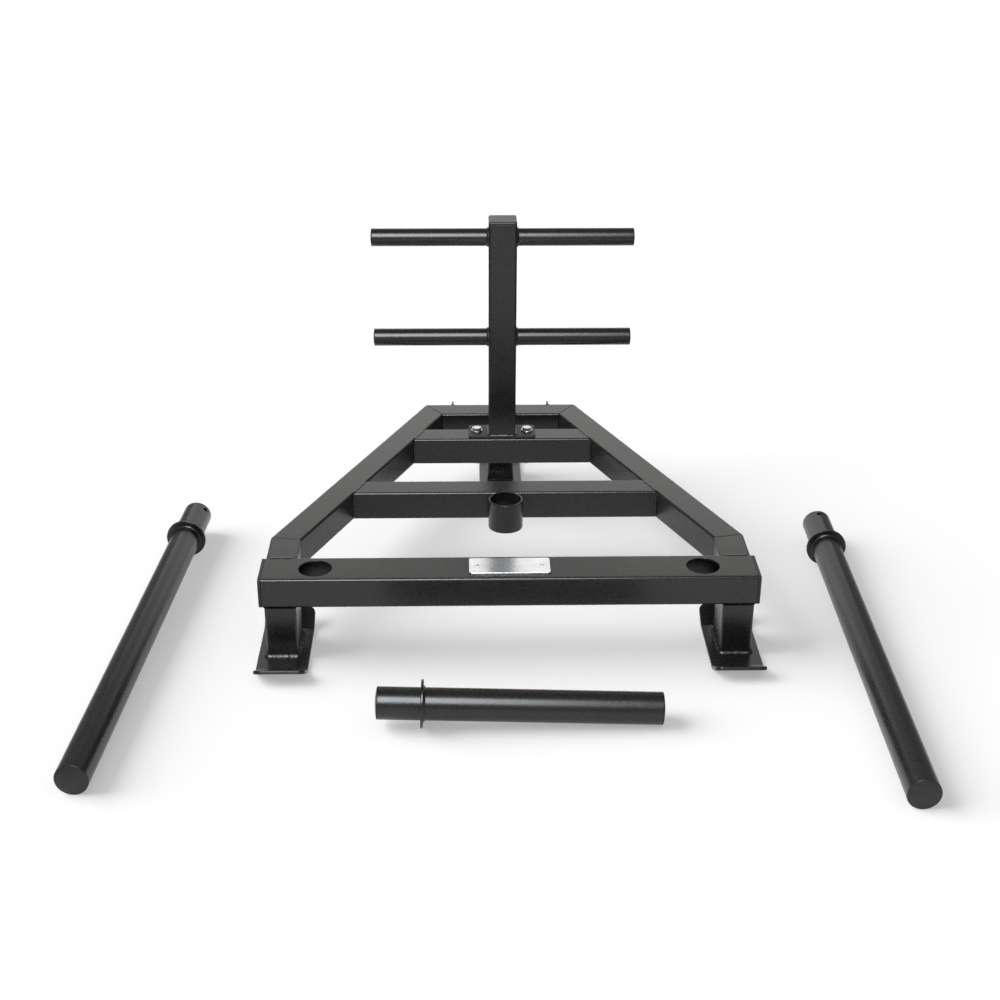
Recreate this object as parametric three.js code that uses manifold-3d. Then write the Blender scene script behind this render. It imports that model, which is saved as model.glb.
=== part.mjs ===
// A push sled: a low welded frame of square steel tube on three skids, with a bolted upright that
// carries four side grips, and three loose tubes that lie on the floor beside it: two push handles
// and the weight post. Millimetres, +Z up. The sled is pushed along +Y. X = 0 is its middle plane,
// Z = 0 is the floor, and the origin is the middle of the nose skid's flat sole.
import * as THREE from 'three';
import { mergeVertices } from 'three/addons/utils/BufferGeometryUtils.js';
import Module from 'manifold-3d';

const wasm = await Module();
wasm.setup();

// Frame, and the height of the whole sled at the top of its upright
const overallHeight = 564.5;
const frameWidth = 800;
const frameLength = 724;
const frameTop = 146.5;
const tubeSide = 50.8;
const tubeWall = 3;
const tubeCorner = 4;
const tubeInnerCorner = 1;
const pushBarDepth = 76.2;
const sideInset = 6.5;
const stubLength = 73;
const pushToSocketBar = 240;
const postBarToNose = 72;
const noseWidth = 295;

// Clearances
const fitGap = 0.3;
const cutOverrun = 5;
const mergeDistance = 0.0005;

// End caps of the push bar and the upright
const capThickness = 5;
const plugReach = 15;

// Legs and skids
const legSetIn = 2;
const skidWidth = 83;
const skidInset = 1.5;
const skidThickness = 6;
const skidRearReach = 41.5;
const skidFrontReach = 18.5;
const skidLipLength = 43;
const skidBendRadius = 12;
const skidCornerRadius = 12;
const skidLipAngle = THREE.MathUtils.degToRad(30);
const noseLegAhead = 6.8;

// Tow tabs on the nose bar
const towTabInset = 53.5;
const towTabLength = 29;
const towTabHeight = 30;
const towTabThickness = 3;
const towEyeDiameter = 18;

// Bare plate riveted on the push bar
const plateWidth = 130;
const plateDepth = 51;
const plateThickness = 2.5;
const plateCorner = 4;
const plateSetForward = 2;
const rivetInset = 13;
const rivetHeadDiameter = 6;
const rivetHeadHeight = 1.2;
const rivetShankDiameter = 3.5;
const rivetTail = 2;

// Loose tubes: two push handles and the weight post
const poleDiameter = 50;
const poleWall = 2.5;
const poleCapThickness = 4;
const poleCapEdge = 1.5;
const handleLength = 826;
const handleInsertion = 92.5;
const handleCollarRim = 10;
const handleCollarThickness = 5;
const handleHoleInset = 89;
const handleHoleClearance = 1.6;
const tipPlugThickness = 3;
const tipPlugInset = 0.5;
const pinHoleDiameter = 9;
const pinHoleSetback = 12;
const postLength = 437.5;
const postInsertion = 69;
const postCollarRim = 12;
const postCollarThickness = 4;

// Socket ring for the weight post
const socketClearance = 1.5;
const socketWall = 3.5;
const socketRise = 2;
const socketWeldWidth = 28;

// Upright with its base plate and bolts
const basePlateMargin = 2.5;
const basePlateThickness = 5;
const basePlateCorner = 6;
const basePlateSetForward = 5;
const uprightToWasher = 11.6;
const washerToPlateEnd = 5;
const boltDiameter = 10;
const boltHeadWidth = 17;
const boltHeadHeight = 5;
const boltHoleClearance = 0.5;
const boltTail = 2;
const washerDiameter = 21;
const washerThickness = 2;
const nutHeight = 8;

// Side grips on the upright
const gripSpan = 476;
const gripDiameter = 31.75;
const gripWall = 2.5;
const gripCapThickness = 3;
const gripCapEdge = 1;
const gripPlugReach = 10;
const gripTopDrop = 34;
const gripSpacing = 190;

// Where the loose tubes lie: the middle of each one's outer end, the way it points from +Y toward
// +X, and how far a handle's pin hole is rolled from its top
const leftHandleX = -627;
const leftHandleY = -1055;
const leftHandleTurn = THREE.MathUtils.degToRad(4.1);
const leftHandleRoll = THREE.MathUtils.degToRad(48);
const rightHandleX = 566;
const rightHandleY = -1109;
const rightHandleTurn = THREE.MathUtils.degToRad(0.8);
const rightHandleRoll = THREE.MathUtils.degToRad(2);
const postX = 229;
const postY = -882;
const postTurn = THREE.MathUtils.degToRad(-90);

// Facets around a full circle
const poleFacets = 40;
const gripFacets = 24;
const smallFacets = 20;
const cornerSteps = 2;
const lipSteps = 4;

// Places that follow from the sizes above
const halfTube = tubeSide / 2;
const frameBottom = frameTop - tubeSide;
const tubeMiddle = frameTop - halfTube;
const sideX = frameWidth / 2 - sideInset;
const stubX = sideX - halfTube;
const legX = stubX - legSetIn;
const skidFlatLength = skidRearReach + pushBarDepth + skidFrontReach;
const noseY = noseLegAhead;
const noseFront = noseY + halfTube;
const pushRear = noseFront - frameLength;
const pushY = pushRear + pushBarDepth / 2;
const pushFront = pushRear + pushBarDepth;
const stubCornerY = pushFront + stubLength;
const railTurn = Math.atan2(sideX - noseWidth / 2, noseFront - stubCornerY);
const noseTurn = Math.PI / 2 - railTurn;
const railLength = Math.hypot(sideX - noseWidth / 2, noseFront - stubCornerY);
const stubMitre = tubeSide * Math.tan(railTurn / 2);
const noseMitre = tubeSide * Math.tan(noseTurn / 2);
const socketBarY = pushFront + pushToSocketBar + halfTube;
const postBarY = noseFront - tubeSide - postBarToNose - halfTube;
const handleHoleX = frameWidth / 2 - handleHoleInset;
const rivetX = plateWidth / 2 - rivetInset;
const uprightY = postBarY + basePlateSetForward;
const boltX = halfTube + uprightToWasher + washerDiameter / 2;
const basePlateWidth = 2 * (boltX + washerDiameter / 2 + washerToPlateEnd);
const basePlateDepth = tubeSide + 2 * basePlateMargin;
const basePlateTop = frameTop + basePlateThickness;

const blackCoat = { color: 0x2b2b2b, roughness: 0.45, metalness: 0.1 };
const blackPlastic = { color: 0x1c1c1c, roughness: 0.6, metalness: 0 };
const zinc = { color: 0xd8dade, roughness: 0.25, metalness: 1 };
const brushedSteel = { color: 0xc9cbcf, roughness: 0.35, metalness: 1 };

/** Joins a geometry's shared corners and makes a solid that can be cut and joined. */
function solidOf(geometry) {
  geometry.deleteAttribute('normal');
  geometry.deleteAttribute('uv');
  const merged = mergeVertices(geometry, mergeDistance);
  return new wasm.Manifold(new wasm.Mesh({
    numProp: 3,
    vertProperties: Float32Array.from(merged.attributes.position.array),
    triVerts: Uint32Array.from(merged.index.array),
  }));
}

/** The geometry of a cut or joined solid. */
function geometryOf(solid) {
  const { vertProperties, triVerts } = solid.getMesh();
  const geometry = new THREE.BufferGeometry();
  geometry.setAttribute('position', new THREE.BufferAttribute(vertProperties, 3));
  geometry.setIndex(new THREE.BufferAttribute(triVerts, 1));
  geometry.computeVertexNormals();
  return geometry;
}

/** Takes several cutters out of a geometry, one after the other. */
function cut(geometry, cutters) {
  const start = solidOf(geometry);
  return geometryOf(cutters.reduce((solid, cutter) => solid.subtract(solidOf(cutter)), start));
}

/** Points along an arc, both ends included. */
function arcPoints(centreX, centreY, radius, start, end, steps) {
  const points = [];
  for (let step = 0; step <= steps; step += 1) {
    const angle = start + (end - start) * step / steps;
    points.push(new THREE.Vector2(
      centreX + radius * Math.cos(angle),
      centreY + radius * Math.sin(angle),
    ));
  }
  return points;
}

/** The corners of a regular outline with that many facets, as for a circle or a hexagon. */
function roundPoints(radius, facets) {
  return arcPoints(0, 0, radius, 0, 2 * Math.PI, facets).slice(0, facets);
}

/** A rectangle about the origin with rounded corners. */
function rectanglePoints(width, height, radius) {
  const x = width / 2 - radius;
  const y = height / 2 - radius;
  const quarter = Math.PI / 2;
  return [
    ...arcPoints(x, y, radius, 0, quarter, cornerSteps),
    ...arcPoints(-x, y, radius, quarter, 2 * quarter, cornerSteps),
    ...arcPoints(-x, -y, radius, 2 * quarter, 3 * quarter, cornerSteps),
    ...arcPoints(x, -y, radius, 3 * quarter, 4 * quarter, cornerSteps),
  ];
}

/** A prism that stands on Z = 0, with an outline and, where given, a hole through it. */
function prism(outline, height, hole) {
  const shape = new THREE.Shape(outline);
  if (hole) shape.holes.push(new THREE.Path(hole));
  return new THREE.ExtrudeGeometry(shape, { depth: height, bevelEnabled: false });
}

/** A rectangular tube that stands on Z = 0. */
function rectangularTube(width, depth, height) {
  const outer = rectanglePoints(width, depth, tubeCorner);
  const inner = rectanglePoints(width - 2 * tubeWall, depth - 2 * tubeWall, tubeInnerCorner);
  return prism(outer, height, inner);
}

/** A square-section tube along X about its middle, its ends cut to a four-cornered plan. */
function tubeAlongX(plan) {
  const reach = Math.max(...plan.map((point) => Math.abs(point.x))) + cutOverrun;
  const tube = rectangularTube(tubeSide, tubeSide, 2 * reach);
  tube.translate(0, 0, -reach);
  tube.rotateY(Math.PI / 2);
  return trimmed(tube, plan);
}

/** A square-section tube along Y from Y = 0, its ends cut to a four-cornered plan. */
function tubeAlongY(plan) {
  const reach = Math.max(...plan.map((point) => point.y)) + cutOverrun;
  const tube = rectangularTube(tubeSide, tubeSide, reach + cutOverrun);
  tube.translate(0, 0, -cutOverrun);
  tube.rotateX(-Math.PI / 2);
  return trimmed(tube, plan);
}

/** Keeps what lies inside a plan outline, seen from above. */
function trimmed(tube, plan) {
  const height = tubeSide + 2 * cutOverrun;
  const keep = prism(plan, height);
  keep.translate(0, 0, -height / 2);
  return geometryOf(solidOf(tube).intersect(solidOf(keep)));
}

/** A round rod that stands on Z = 0. */
function rod(diameter, height, facets) {
  return prism(roundPoints(diameter / 2, facets), height);
}

/** A round tube or washer that stands on Z = 0. */
function roundTube(outerDiameter, innerDiameter, height, facets) {
  return prism(roundPoints(outerDiameter / 2, facets), height, roundPoints(innerDiameter / 2, facets));
}

/** A turned piece about Z from a profile of [radius, height] pairs that starts and ends on the axis. */
function turned(profile, facets) {
  const points = profile.map(([radius, height]) => new THREE.Vector2(radius, height));
  const geometry = new THREE.LatheGeometry(points, facets);
  geometry.rotateX(Math.PI / 2);
  return geometryOf(solidOf(geometry));
}

/** A round cap whose outer face is Z = 0 and whose plug reaches up into its tube. */
function roundCap(tubeDiameter, wall, thickness, edge, reach, facets) {
  const radius = tubeDiameter / 2;
  const plugRadius = radius - wall - fitGap;
  return turned([
    [0, 0],
    [radius - edge, 0],
    [radius, edge],
    [radius, thickness],
    [plugRadius, thickness],
    [plugRadius, thickness + reach],
    [0, thickness + reach],
  ], facets);
}

/** A rectangular cap whose inner face is Z = 0 and whose plug reaches down into its tube. */
function rectangularCap(width, depth, thickness) {
  const plugInset = 2 * (tubeWall + fitGap);
  const flange = prism(rectanglePoints(width, depth, tubeCorner), thickness);
  const plugOutline = rectanglePoints(width - plugInset, depth - plugInset, tubeInnerCorner);
  const plug = prism(plugOutline, plugReach + thickness / 2);
  plug.translate(0, 0, -plugReach);
  return geometryOf(solidOf(flange).add(solidOf(plug)));
}

/** Adds a named piece with its own material to a group. */
function addPiece(group, name, geometry, finish, x = 0, y = 0, z = 0) {
  const mesh = new THREE.Mesh(geometry, new THREE.MeshStandardMaterial(finish));
  mesh.name = name;
  mesh.position.set(x, y, z);
  group.add(mesh);
  return mesh;
}

const sled = new THREE.Group();
const sides = [['left', -1], ['right', 1]];

/** The push bar with its two handle holes, and its end caps. */
function addPushBar() {
  const barLength = frameWidth - 2 * capThickness;
  const bar = rectangularTube(tubeSide, pushBarDepth, barLength);
  bar.translate(0, 0, -barLength / 2);
  bar.rotateY(Math.PI / 2);
  const cutHeight = tubeSide + 2 * cutOverrun;
  const rivetHoleDepth = tubeWall + 2 * cutOverrun;
  const cutters = [];
  for (const [, side] of sides) {
    const hole = rod(poleDiameter + 2 * handleHoleClearance, cutHeight, poleFacets);
    hole.translate(side * handleHoleX, 0, -cutHeight / 2);
    const rivetHole = rod(rivetShankDiameter + 2 * fitGap, rivetHoleDepth, smallFacets);
    rivetHole.translate(side * rivetX, plateSetForward, halfTube - tubeWall - cutOverrun);
    cutters.push(hole, rivetHole);
  }
  addPiece(sled, 'push_bar', cut(bar, cutters), blackCoat, 0, pushY, tubeMiddle);
  for (const [name, side] of sides) {
    const cap = rectangularCap(tubeSide, pushBarDepth, capThickness);
    cap.rotateY(side * Math.PI / 2);
    addPiece(sled, `push_bar_cap_${name}`, cap, blackPlastic, side * barLength / 2, pushY, tubeMiddle);
  }
}

/** The bare plate on the push bar and the two rivets that hold it. */
function addPlate() {
  const plate = prism(rectanglePoints(plateWidth, plateDepth, plateCorner), plateThickness);
  const cutHeight = plateThickness + 2 * cutOverrun;
  const holes = sides.map(([, side]) => {
    const hole = rod(rivetShankDiameter + 2 * fitGap, cutHeight, smallFacets);
    hole.translate(side * rivetX, 0, -cutOverrun);
    return hole;
  });
  const plateY = pushY + plateSetForward;
  addPiece(sled, 'bare_plate', cut(plate, holes), brushedSteel, 0, plateY, frameTop);
  const shankReach = plateThickness + tubeWall + rivetTail;
  const shankRadius = rivetShankDiameter / 2;
  const headRadius = rivetHeadDiameter / 2;
  const plateTop = frameTop + plateThickness;
  for (const [name, side] of sides) {
    const rivet = turned([
      [0, -shankReach],
      [shankRadius, -shankReach],
      [shankRadius, 0],
      [headRadius, 0],
      [headRadius * Math.cos(Math.PI / 6), rivetHeadHeight / 2],
      [headRadius / 2, rivetHeadHeight],
      [0, rivetHeadHeight],
    ], smallFacets);
    addPiece(sled, `plate_rivet_${name}`, rivet, brushedSteel, side * rivetX, plateY, plateTop);
  }
}

/** The short stubs behind the push bar, the slanted rails and the mitred nose bar. */
function addRails() {
  const stubCut = fitGap / 2 / Math.cos(railTurn / 2);
  const noseCut = fitGap / 2 / Math.cos(noseTurn / 2);
  for (const [name, side] of sides) {
    const outer = side * halfTube;
    const stub = tubeAlongY([
      new THREE.Vector2(outer, 0),
      new THREE.Vector2(outer, stubLength - stubCut),
      new THREE.Vector2(-outer, stubLength - stubMitre - stubCut),
      new THREE.Vector2(-outer, 0),
    ]);
    addPiece(sled, `side_stub_${name}`, stub, blackCoat, side * stubX, pushFront, tubeMiddle);
    const rail = tubeAlongY([
      new THREE.Vector2(outer, stubCut),
      new THREE.Vector2(outer, railLength - noseCut),
      new THREE.Vector2(-outer, railLength - noseMitre - noseCut),
      new THREE.Vector2(-outer, stubMitre + stubCut),
    ]);
    const railX = sideX - halfTube * Math.cos(railTurn);
    const railY = stubCornerY - halfTube * Math.sin(railTurn);
    const mesh = addPiece(sled, `side_rail_${name}`, rail, blackCoat, side * railX, railY, tubeMiddle);
    mesh.rotation.z = side * railTurn;
  }
  const noseHalf = noseWidth / 2;
  const noseBar = tubeAlongX([
    new THREE.Vector2(-noseHalf + noseCut, halfTube),
    new THREE.Vector2(-noseHalf + noseMitre + noseCut, -halfTube),
    new THREE.Vector2(noseHalf - noseMitre - noseCut, -halfTube),
    new THREE.Vector2(noseHalf - noseCut, halfTube),
  ]);
  addPiece(sled, 'nose_bar', noseBar, blackCoat, 0, noseY, tubeMiddle);
}

/** Half the clear width between the two rails at a place along Y. */
function railGapAt(y) {
  const cornerX = sideX - tubeSide;
  const cornerY = stubCornerY - stubMitre;
  return cornerX - (y - cornerY) * Math.tan(railTurn) - fitGap / Math.cos(railTurn);
}

/** A crossbar between the rails, its ends cut to their slant. */
function crossbar(barY) {
  const rearHalf = railGapAt(barY - halfTube);
  const frontHalf = railGapAt(barY + halfTube);
  return tubeAlongX([
    new THREE.Vector2(-rearHalf, -halfTube),
    new THREE.Vector2(rearHalf, -halfTube),
    new THREE.Vector2(frontHalf, halfTube),
    new THREE.Vector2(-frontHalf, halfTube),
  ]);
}

/** The two crossbars: the socket bar, and the post bar with the holes for the upright's bolts. */
function addCrossbars() {
  addPiece(sled, 'socket_bar', crossbar(socketBarY), blackCoat, 0, socketBarY, tubeMiddle);
  const cutHeight = tubeSide + 2 * cutOverrun;
  const holes = sides.map(([, side]) => {
    const hole = rod(boltDiameter + 2 * boltHoleClearance, cutHeight, smallFacets);
    hole.translate(side * boltX, basePlateSetForward, -cutHeight / 2);
    return hole;
  });
  addPiece(sled, 'post_bar', cut(crossbar(postBarY), holes), blackCoat, 0, postBarY, tubeMiddle);
}

/** The ring that the weight post drops into, with the weld that joins it to the socket bar. */
function addSocketRing() {
  const boreRadius = poleDiameter / 2 + socketClearance;
  const ringRadius = boreRadius + socketWall;
  const ringHeight = tubeSide + socketRise;
  const ring = roundTube(2 * ringRadius, 2 * boreRadius, ringHeight, poleFacets);
  const weldHalf = socketWeldWidth / 2;
  const weldRear = Math.sqrt(ringRadius ** 2 - weldHalf ** 2) - socketWall / 2;
  const weld = prism([
    new THREE.Vector2(-weldHalf, weldRear),
    new THREE.Vector2(weldHalf, weldRear),
    new THREE.Vector2(weldHalf, ringRadius),
    new THREE.Vector2(-weldHalf, ringRadius),
  ], tubeSide);
  const joined = geometryOf(solidOf(ring).add(solidOf(weld)));
  const bore = rod(2 * boreRadius, ringHeight + 2 * cutOverrun, poleFacets);
  bore.translate(0, 0, -cutOverrun);
  const ringY = socketBarY - halfTube - ringRadius;
  addPiece(sled, 'post_socket', cut(joined, [bore]), blackCoat, 0, ringY, frameBottom);
}

/** A skid plate bent up at both ends, its flat sole on Z = 0 and its middle at the origin. */
function skidPlate() {
  const flatHalf = skidFlatLength / 2 - (skidBendRadius + skidThickness) * Math.tan(skidLipAngle / 2);
  const lip = skidLipLength - (skidBendRadius + skidThickness) * Math.tan(skidLipAngle / 2);
  const bendHeight = skidThickness + skidBendRadius;
  const down = -Math.PI / 2;
  const outerBend = arcPoints(
    flatHalf, bendHeight, skidBendRadius + skidThickness, down, down + skidLipAngle, lipSteps,
  );
  const innerBend = arcPoints(
    flatHalf, bendHeight, skidBendRadius, down + skidLipAngle, down, lipSteps,
  );
  const rise = new THREE.Vector2(Math.cos(skidLipAngle), Math.sin(skidLipAngle)).multiplyScalar(lip);
  const front = [
    ...outerBend,
    outerBend[lipSteps].clone().add(rise),
    innerBend[0].clone().add(rise),
    ...innerBend,
  ];
  const rear = front.map((point) => new THREE.Vector2(-point.x, point.y)).reverse();
  const sheet = prism([...front, ...rear], skidWidth);
  sheet.translate(0, 0, -skidWidth / 2);
  sheet.rotateX(Math.PI / 2);
  sheet.rotateZ(Math.PI / 2);
  const reach = outerBend[lipSteps].x + rise.x;
  const height = bendHeight + skidLipLength;
  const plan = prism(rectanglePoints(skidWidth, 2 * reach, skidCornerRadius), height + cutOverrun);
  plan.translate(0, 0, -cutOverrun);
  return geometryOf(solidOf(sheet).intersect(solidOf(plan)));
}

/** The three legs, each on its skid. */
function addLegsAndSkids() {
  const legHeight = frameBottom - skidThickness;
  const pushSkidY = pushRear - skidRearReach + skidFlatLength / 2;
  const pushSkidX = legX - skidInset;
  for (const [name, side] of sides) {
    const leg = rectangularTube(tubeSide, pushBarDepth, legHeight);
    addPiece(sled, `leg_${name}`, leg, blackCoat, side * legX, pushY, skidThickness);
    addPiece(sled, `skid_${name}`, skidPlate(), blackCoat, side * pushSkidX, pushSkidY);
  }
  const noseLeg = rectangularTube(tubeSide, tubeSide, legHeight);
  addPiece(sled, 'leg_nose', noseLeg, blackCoat, 0, noseY, skidThickness);
  addPiece(sled, 'skid_nose', skidPlate(), blackCoat);
}

/** The two tow tabs that stand out in front of the nose bar, level with its top. */
function addTowTabs() {
  const radius = towTabHeight / 2;
  const straight = towTabLength - radius;
  const quarter = Math.PI / 2;
  const towTabX = noseWidth / 2 - towTabInset;
  const towTabZ = frameTop - radius;
  for (const [name, side] of sides) {
    const eye = roundPoints(towEyeDiameter / 2, smallFacets);
    const outline = [
      new THREE.Vector2(0, -radius),
      ...arcPoints(straight, 0, radius, -quarter, quarter, smallFacets / 2),
      new THREE.Vector2(0, radius),
    ];
    const eyeAtEnd = eye.map((point) => new THREE.Vector2(point.x + straight, point.y));
    const tab = prism(outline, towTabThickness, eyeAtEnd);
    tab.translate(0, 0, -towTabThickness / 2);
    tab.rotateX(Math.PI / 2);
    tab.rotateZ(Math.PI / 2);
    addPiece(sled, `tow_tab_${name}`, tab, blackCoat, side * towTabX, noseFront, towTabZ);
  }
}

/** The upright, its base plate and its top cap. */
function addUpright() {
  const plate = prism(
    rectanglePoints(basePlateWidth, basePlateDepth, basePlateCorner), basePlateThickness,
  );
  const cutHeight = basePlateThickness + 2 * cutOverrun;
  const holes = sides.map(([, side]) => {
    const hole = rod(boltDiameter + 2 * boltHoleClearance, cutHeight, smallFacets);
    hole.translate(side * boltX, 0, -cutOverrun);
    return hole;
  });
  addPiece(sled, 'upright_base_plate', cut(plate, holes), blackCoat, 0, uprightY, frameTop);
  const tubeHeight = overallHeight - capThickness - basePlateTop;
  const tube = rectangularTube(tubeSide, tubeSide, tubeHeight);
  addPiece(sled, 'upright', tube, blackCoat, 0, uprightY, basePlateTop);
  const cap = rectangularCap(tubeSide, tubeSide, capThickness);
  addPiece(sled, 'upright_cap', cap, blackPlastic, 0, uprightY, overallHeight - capThickness);
}

/** A hexagonal prism that stands on Z = 0, with two corners on Y and, where given, a hole. */
function hexPrism(acrossFlats, height, hole) {
  const corners = roundPoints(acrossFlats / 2 / Math.cos(Math.PI / 6), 6);
  return prism(corners.map((point) => new THREE.Vector2(point.y, point.x)).reverse(), height, hole);
}

/** The bolts through the base plate and its bar, with their washers and nuts. */
function addBolts() {
  const headBottom = basePlateTop + washerThickness;
  const nutBottom = frameBottom - washerThickness - nutHeight;
  const shankLength = headBottom - nutBottom + boltTail;
  const holeDiameter = boltDiameter + 2 * boltHoleClearance;
  for (const [name, side] of sides) {
    const head = hexPrism(boltHeadWidth, boltHeadHeight);
    const shank = rod(boltDiameter, shankLength + boltHeadHeight / 2, smallFacets);
    shank.translate(0, 0, -shankLength);
    const bolt = geometryOf(solidOf(head).add(solidOf(shank)));
    addPiece(sled, `base_bolt_${name}`, bolt, zinc, side * boltX, uprightY, headBottom);
    const topWasher = roundTube(washerDiameter, holeDiameter, washerThickness, smallFacets);
    addPiece(sled, `top_washer_${name}`, topWasher, zinc, side * boltX, uprightY, basePlateTop);
    const lowerWasher = roundTube(washerDiameter, holeDiameter, washerThickness, smallFacets);
    const lowerWasherZ = frameBottom - washerThickness;
    addPiece(sled, `lower_washer_${name}`, lowerWasher, zinc, side * boltX, uprightY, lowerWasherZ);
    const nutBore = roundPoints(boltDiameter / 2 + fitGap, smallFacets);
    const nut = hexPrism(boltHeadWidth, nutHeight, nutBore);
    addPiece(sled, `base_nut_${name}`, nut, zinc, side * boltX, uprightY, nutBottom);
  }
}

/** The four side grips, two on each side of the upright, each with its end cap. */
function addGrips() {
  const tubeLength = (gripSpan - tubeSide) / 2 - gripCapThickness;
  const upperZ = overallHeight - gripTopDrop;
  const rows = [['upper', upperZ], ['lower', upperZ - gripSpacing]];
  for (const [row, gripZ] of rows) {
    for (const [name, side] of sides) {
      const tube = roundTube(gripDiameter, gripDiameter - 2 * gripWall, tubeLength, gripFacets);
      tube.rotateY(side * Math.PI / 2);
      addPiece(sled, `${row}_grip_${name}`, tube, blackCoat, side * halfTube, uprightY, gripZ);
      const cap = roundCap(
        gripDiameter, gripWall, gripCapThickness, gripCapEdge, gripPlugReach, gripFacets,
      );
      cap.rotateY(-side * Math.PI / 2);
      addPiece(sled, `${row}_grip_cap_${name}`, cap, blackPlastic, side * gripSpan / 2, uprightY, gripZ);
    }
  }
}

/**
 * A loose tube's group, along +Y from its outer end, with the cap at that end and its collar. It lies
 * on the rim of the cap and on the collar, so it is tipped up a little.
 */
function addPole(name, length, insertion, collarRim, collarThickness, place) {
  const pole = new THREE.Group();
  const collarRear = length - insertion - collarThickness;
  const collarDiameter = poleDiameter + 2 * collarRim;
  const collar = roundTube(collarDiameter, poleDiameter + 2 * fitGap, collarThickness, poleFacets);
  collar.rotateX(-Math.PI / 2);
  addPiece(pole, `${name}_collar`, collar, blackCoat, 0, collarRear);
  const cap = roundCap(poleDiameter, poleWall, poleCapThickness, poleCapEdge, plugReach, poleFacets);
  cap.rotateX(-Math.PI / 2);
  addPiece(pole, `${name}_outer_cap`, cap, blackPlastic);
  const tilt = Math.atan2(collarRim, collarRear);
  pole.rotation.set(tilt, 0, -place.turn, 'ZYX');
  pole.position.set(place.x, place.y, poleDiameter / 2 * Math.cos(tilt));
  sled.add(pole);
  return pole;
}

/** A loose tube's wall along +Y between two places along its length. */
function poleWallBetween(start, end) {
  const tube = roundTube(poleDiameter, poleDiameter - 2 * poleWall, end - start, poleFacets);
  tube.rotateX(-Math.PI / 2);
  tube.translate(0, start, 0);
  return tube;
}

/** A push handle, with a hole for its locking pin near the tip and a plug set into the tip. */
function addHandle(name, place) {
  const handle = addPole(
    name, handleLength, handleInsertion, handleCollarRim, handleCollarThickness, place,
  );
  const drillLength = poleDiameter + 2 * cutOverrun;
  const drill = rod(pinHoleDiameter, drillLength, smallFacets);
  drill.translate(0, handleLength - pinHoleSetback, -drillLength / 2);
  const wall = poleWallBetween(poleCapThickness + fitGap, handleLength);
  const tube = addPiece(handle, `${name}_tube`, cut(wall, [drill]), blackCoat);
  tube.rotation.y = place.roll;
  const plug = rod(poleDiameter - 2 * (poleWall + fitGap), tipPlugThickness, poleFacets);
  plug.rotateX(Math.PI / 2);
  addPiece(handle, `${name}_tip_plug`, plug, blackPlastic, 0, handleLength - tipPlugInset);
}

/** The weight post, with a cap at each end. */
function addWeightPost(place) {
  const name = 'weight_post';
  const post = addPole(name, postLength, postInsertion, postCollarRim, postCollarThickness, place);
  const wallStart = poleCapThickness + fitGap;
  const wall = poleWallBetween(wallStart, postLength - wallStart);
  addPiece(post, `${name}_tube`, wall, blackCoat);
  const cap = roundCap(poleDiameter, poleWall, poleCapThickness, poleCapEdge, plugReach, poleFacets);
  cap.rotateX(Math.PI / 2);
  addPiece(post, `${name}_inner_cap`, cap, blackPlastic, 0, postLength);
}

addPushBar();
addPlate();
addRails();
addCrossbars();
addSocketRing();
addLegsAndSkids();
addTowTabs();
addUpright();
addBolts();
addGrips();
addHandle('left_handle', {
  x: leftHandleX, y: leftHandleY, turn: leftHandleTurn, roll: leftHandleRoll,
});
addHandle('right_handle', {
  x: rightHandleX, y: rightHandleY, turn: rightHandleTurn, roll: rightHandleRoll,
});
addWeightPost({ x: postX, y: postY, turn: postTurn });

export default sled;
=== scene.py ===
"""The looks of a push sled: a welded steel frame on three skids, and three loose tubes beside it.

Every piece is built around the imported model, in metres, in the same frame: the origin is the middle
of the nose skid's sole, the sled is pushed along +Y, and Z = 0 is the floor.
"""

from __future__ import annotations

import logging
import math
from collections.abc import Iterable, Mapping, Sequence
from dataclasses import dataclass, field
from enum import Enum

import bmesh
import bpy
from mathutils import Matrix, Vector, noise

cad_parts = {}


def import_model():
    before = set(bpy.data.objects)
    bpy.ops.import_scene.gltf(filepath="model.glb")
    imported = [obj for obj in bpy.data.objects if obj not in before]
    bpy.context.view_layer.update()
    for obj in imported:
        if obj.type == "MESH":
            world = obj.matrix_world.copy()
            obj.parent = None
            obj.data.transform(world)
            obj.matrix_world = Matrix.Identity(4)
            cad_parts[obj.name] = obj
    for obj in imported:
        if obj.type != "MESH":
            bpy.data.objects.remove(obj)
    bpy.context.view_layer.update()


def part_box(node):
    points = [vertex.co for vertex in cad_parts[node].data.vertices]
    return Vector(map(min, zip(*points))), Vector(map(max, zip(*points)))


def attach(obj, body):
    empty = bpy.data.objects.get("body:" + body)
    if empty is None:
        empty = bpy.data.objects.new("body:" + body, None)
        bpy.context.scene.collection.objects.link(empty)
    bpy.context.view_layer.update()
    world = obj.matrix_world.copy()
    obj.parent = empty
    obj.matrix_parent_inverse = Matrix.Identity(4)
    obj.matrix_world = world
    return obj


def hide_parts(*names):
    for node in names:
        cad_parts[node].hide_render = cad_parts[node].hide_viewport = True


log = logging.getLogger("push_sled")

BOLT_FACES = 32
WASHER_FACES = 48
GRIP_FACES = 64
CAP_FACES = 72
TUBE_FACES = 96
SAME_POINT = 0.000001
MIX_COLOURS = (6, 7)
MIX_RESULT = 2
WELD_SEEDS = 97
SEED_STEPS = (7.3, 3.1, 1.0)
QUARTER = math.pi / 2
SIDES = {"left": -1, "right": 1}
X_AXIS = Vector((1, 0, 0))
Y_AXIS = Vector((0, 1, 0))
Z_AXIS = Vector((0, 0, 1))

Colour = tuple[float, float, float]
Inputs = Mapping[str | int, object]


class Slot(Enum):
    """The material slots."""

    COAT = "black_coat"
    PLASTIC = "black_plastic"
    ZINC = "zinc_plate"
    STEEL = "bare_steel"


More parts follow.
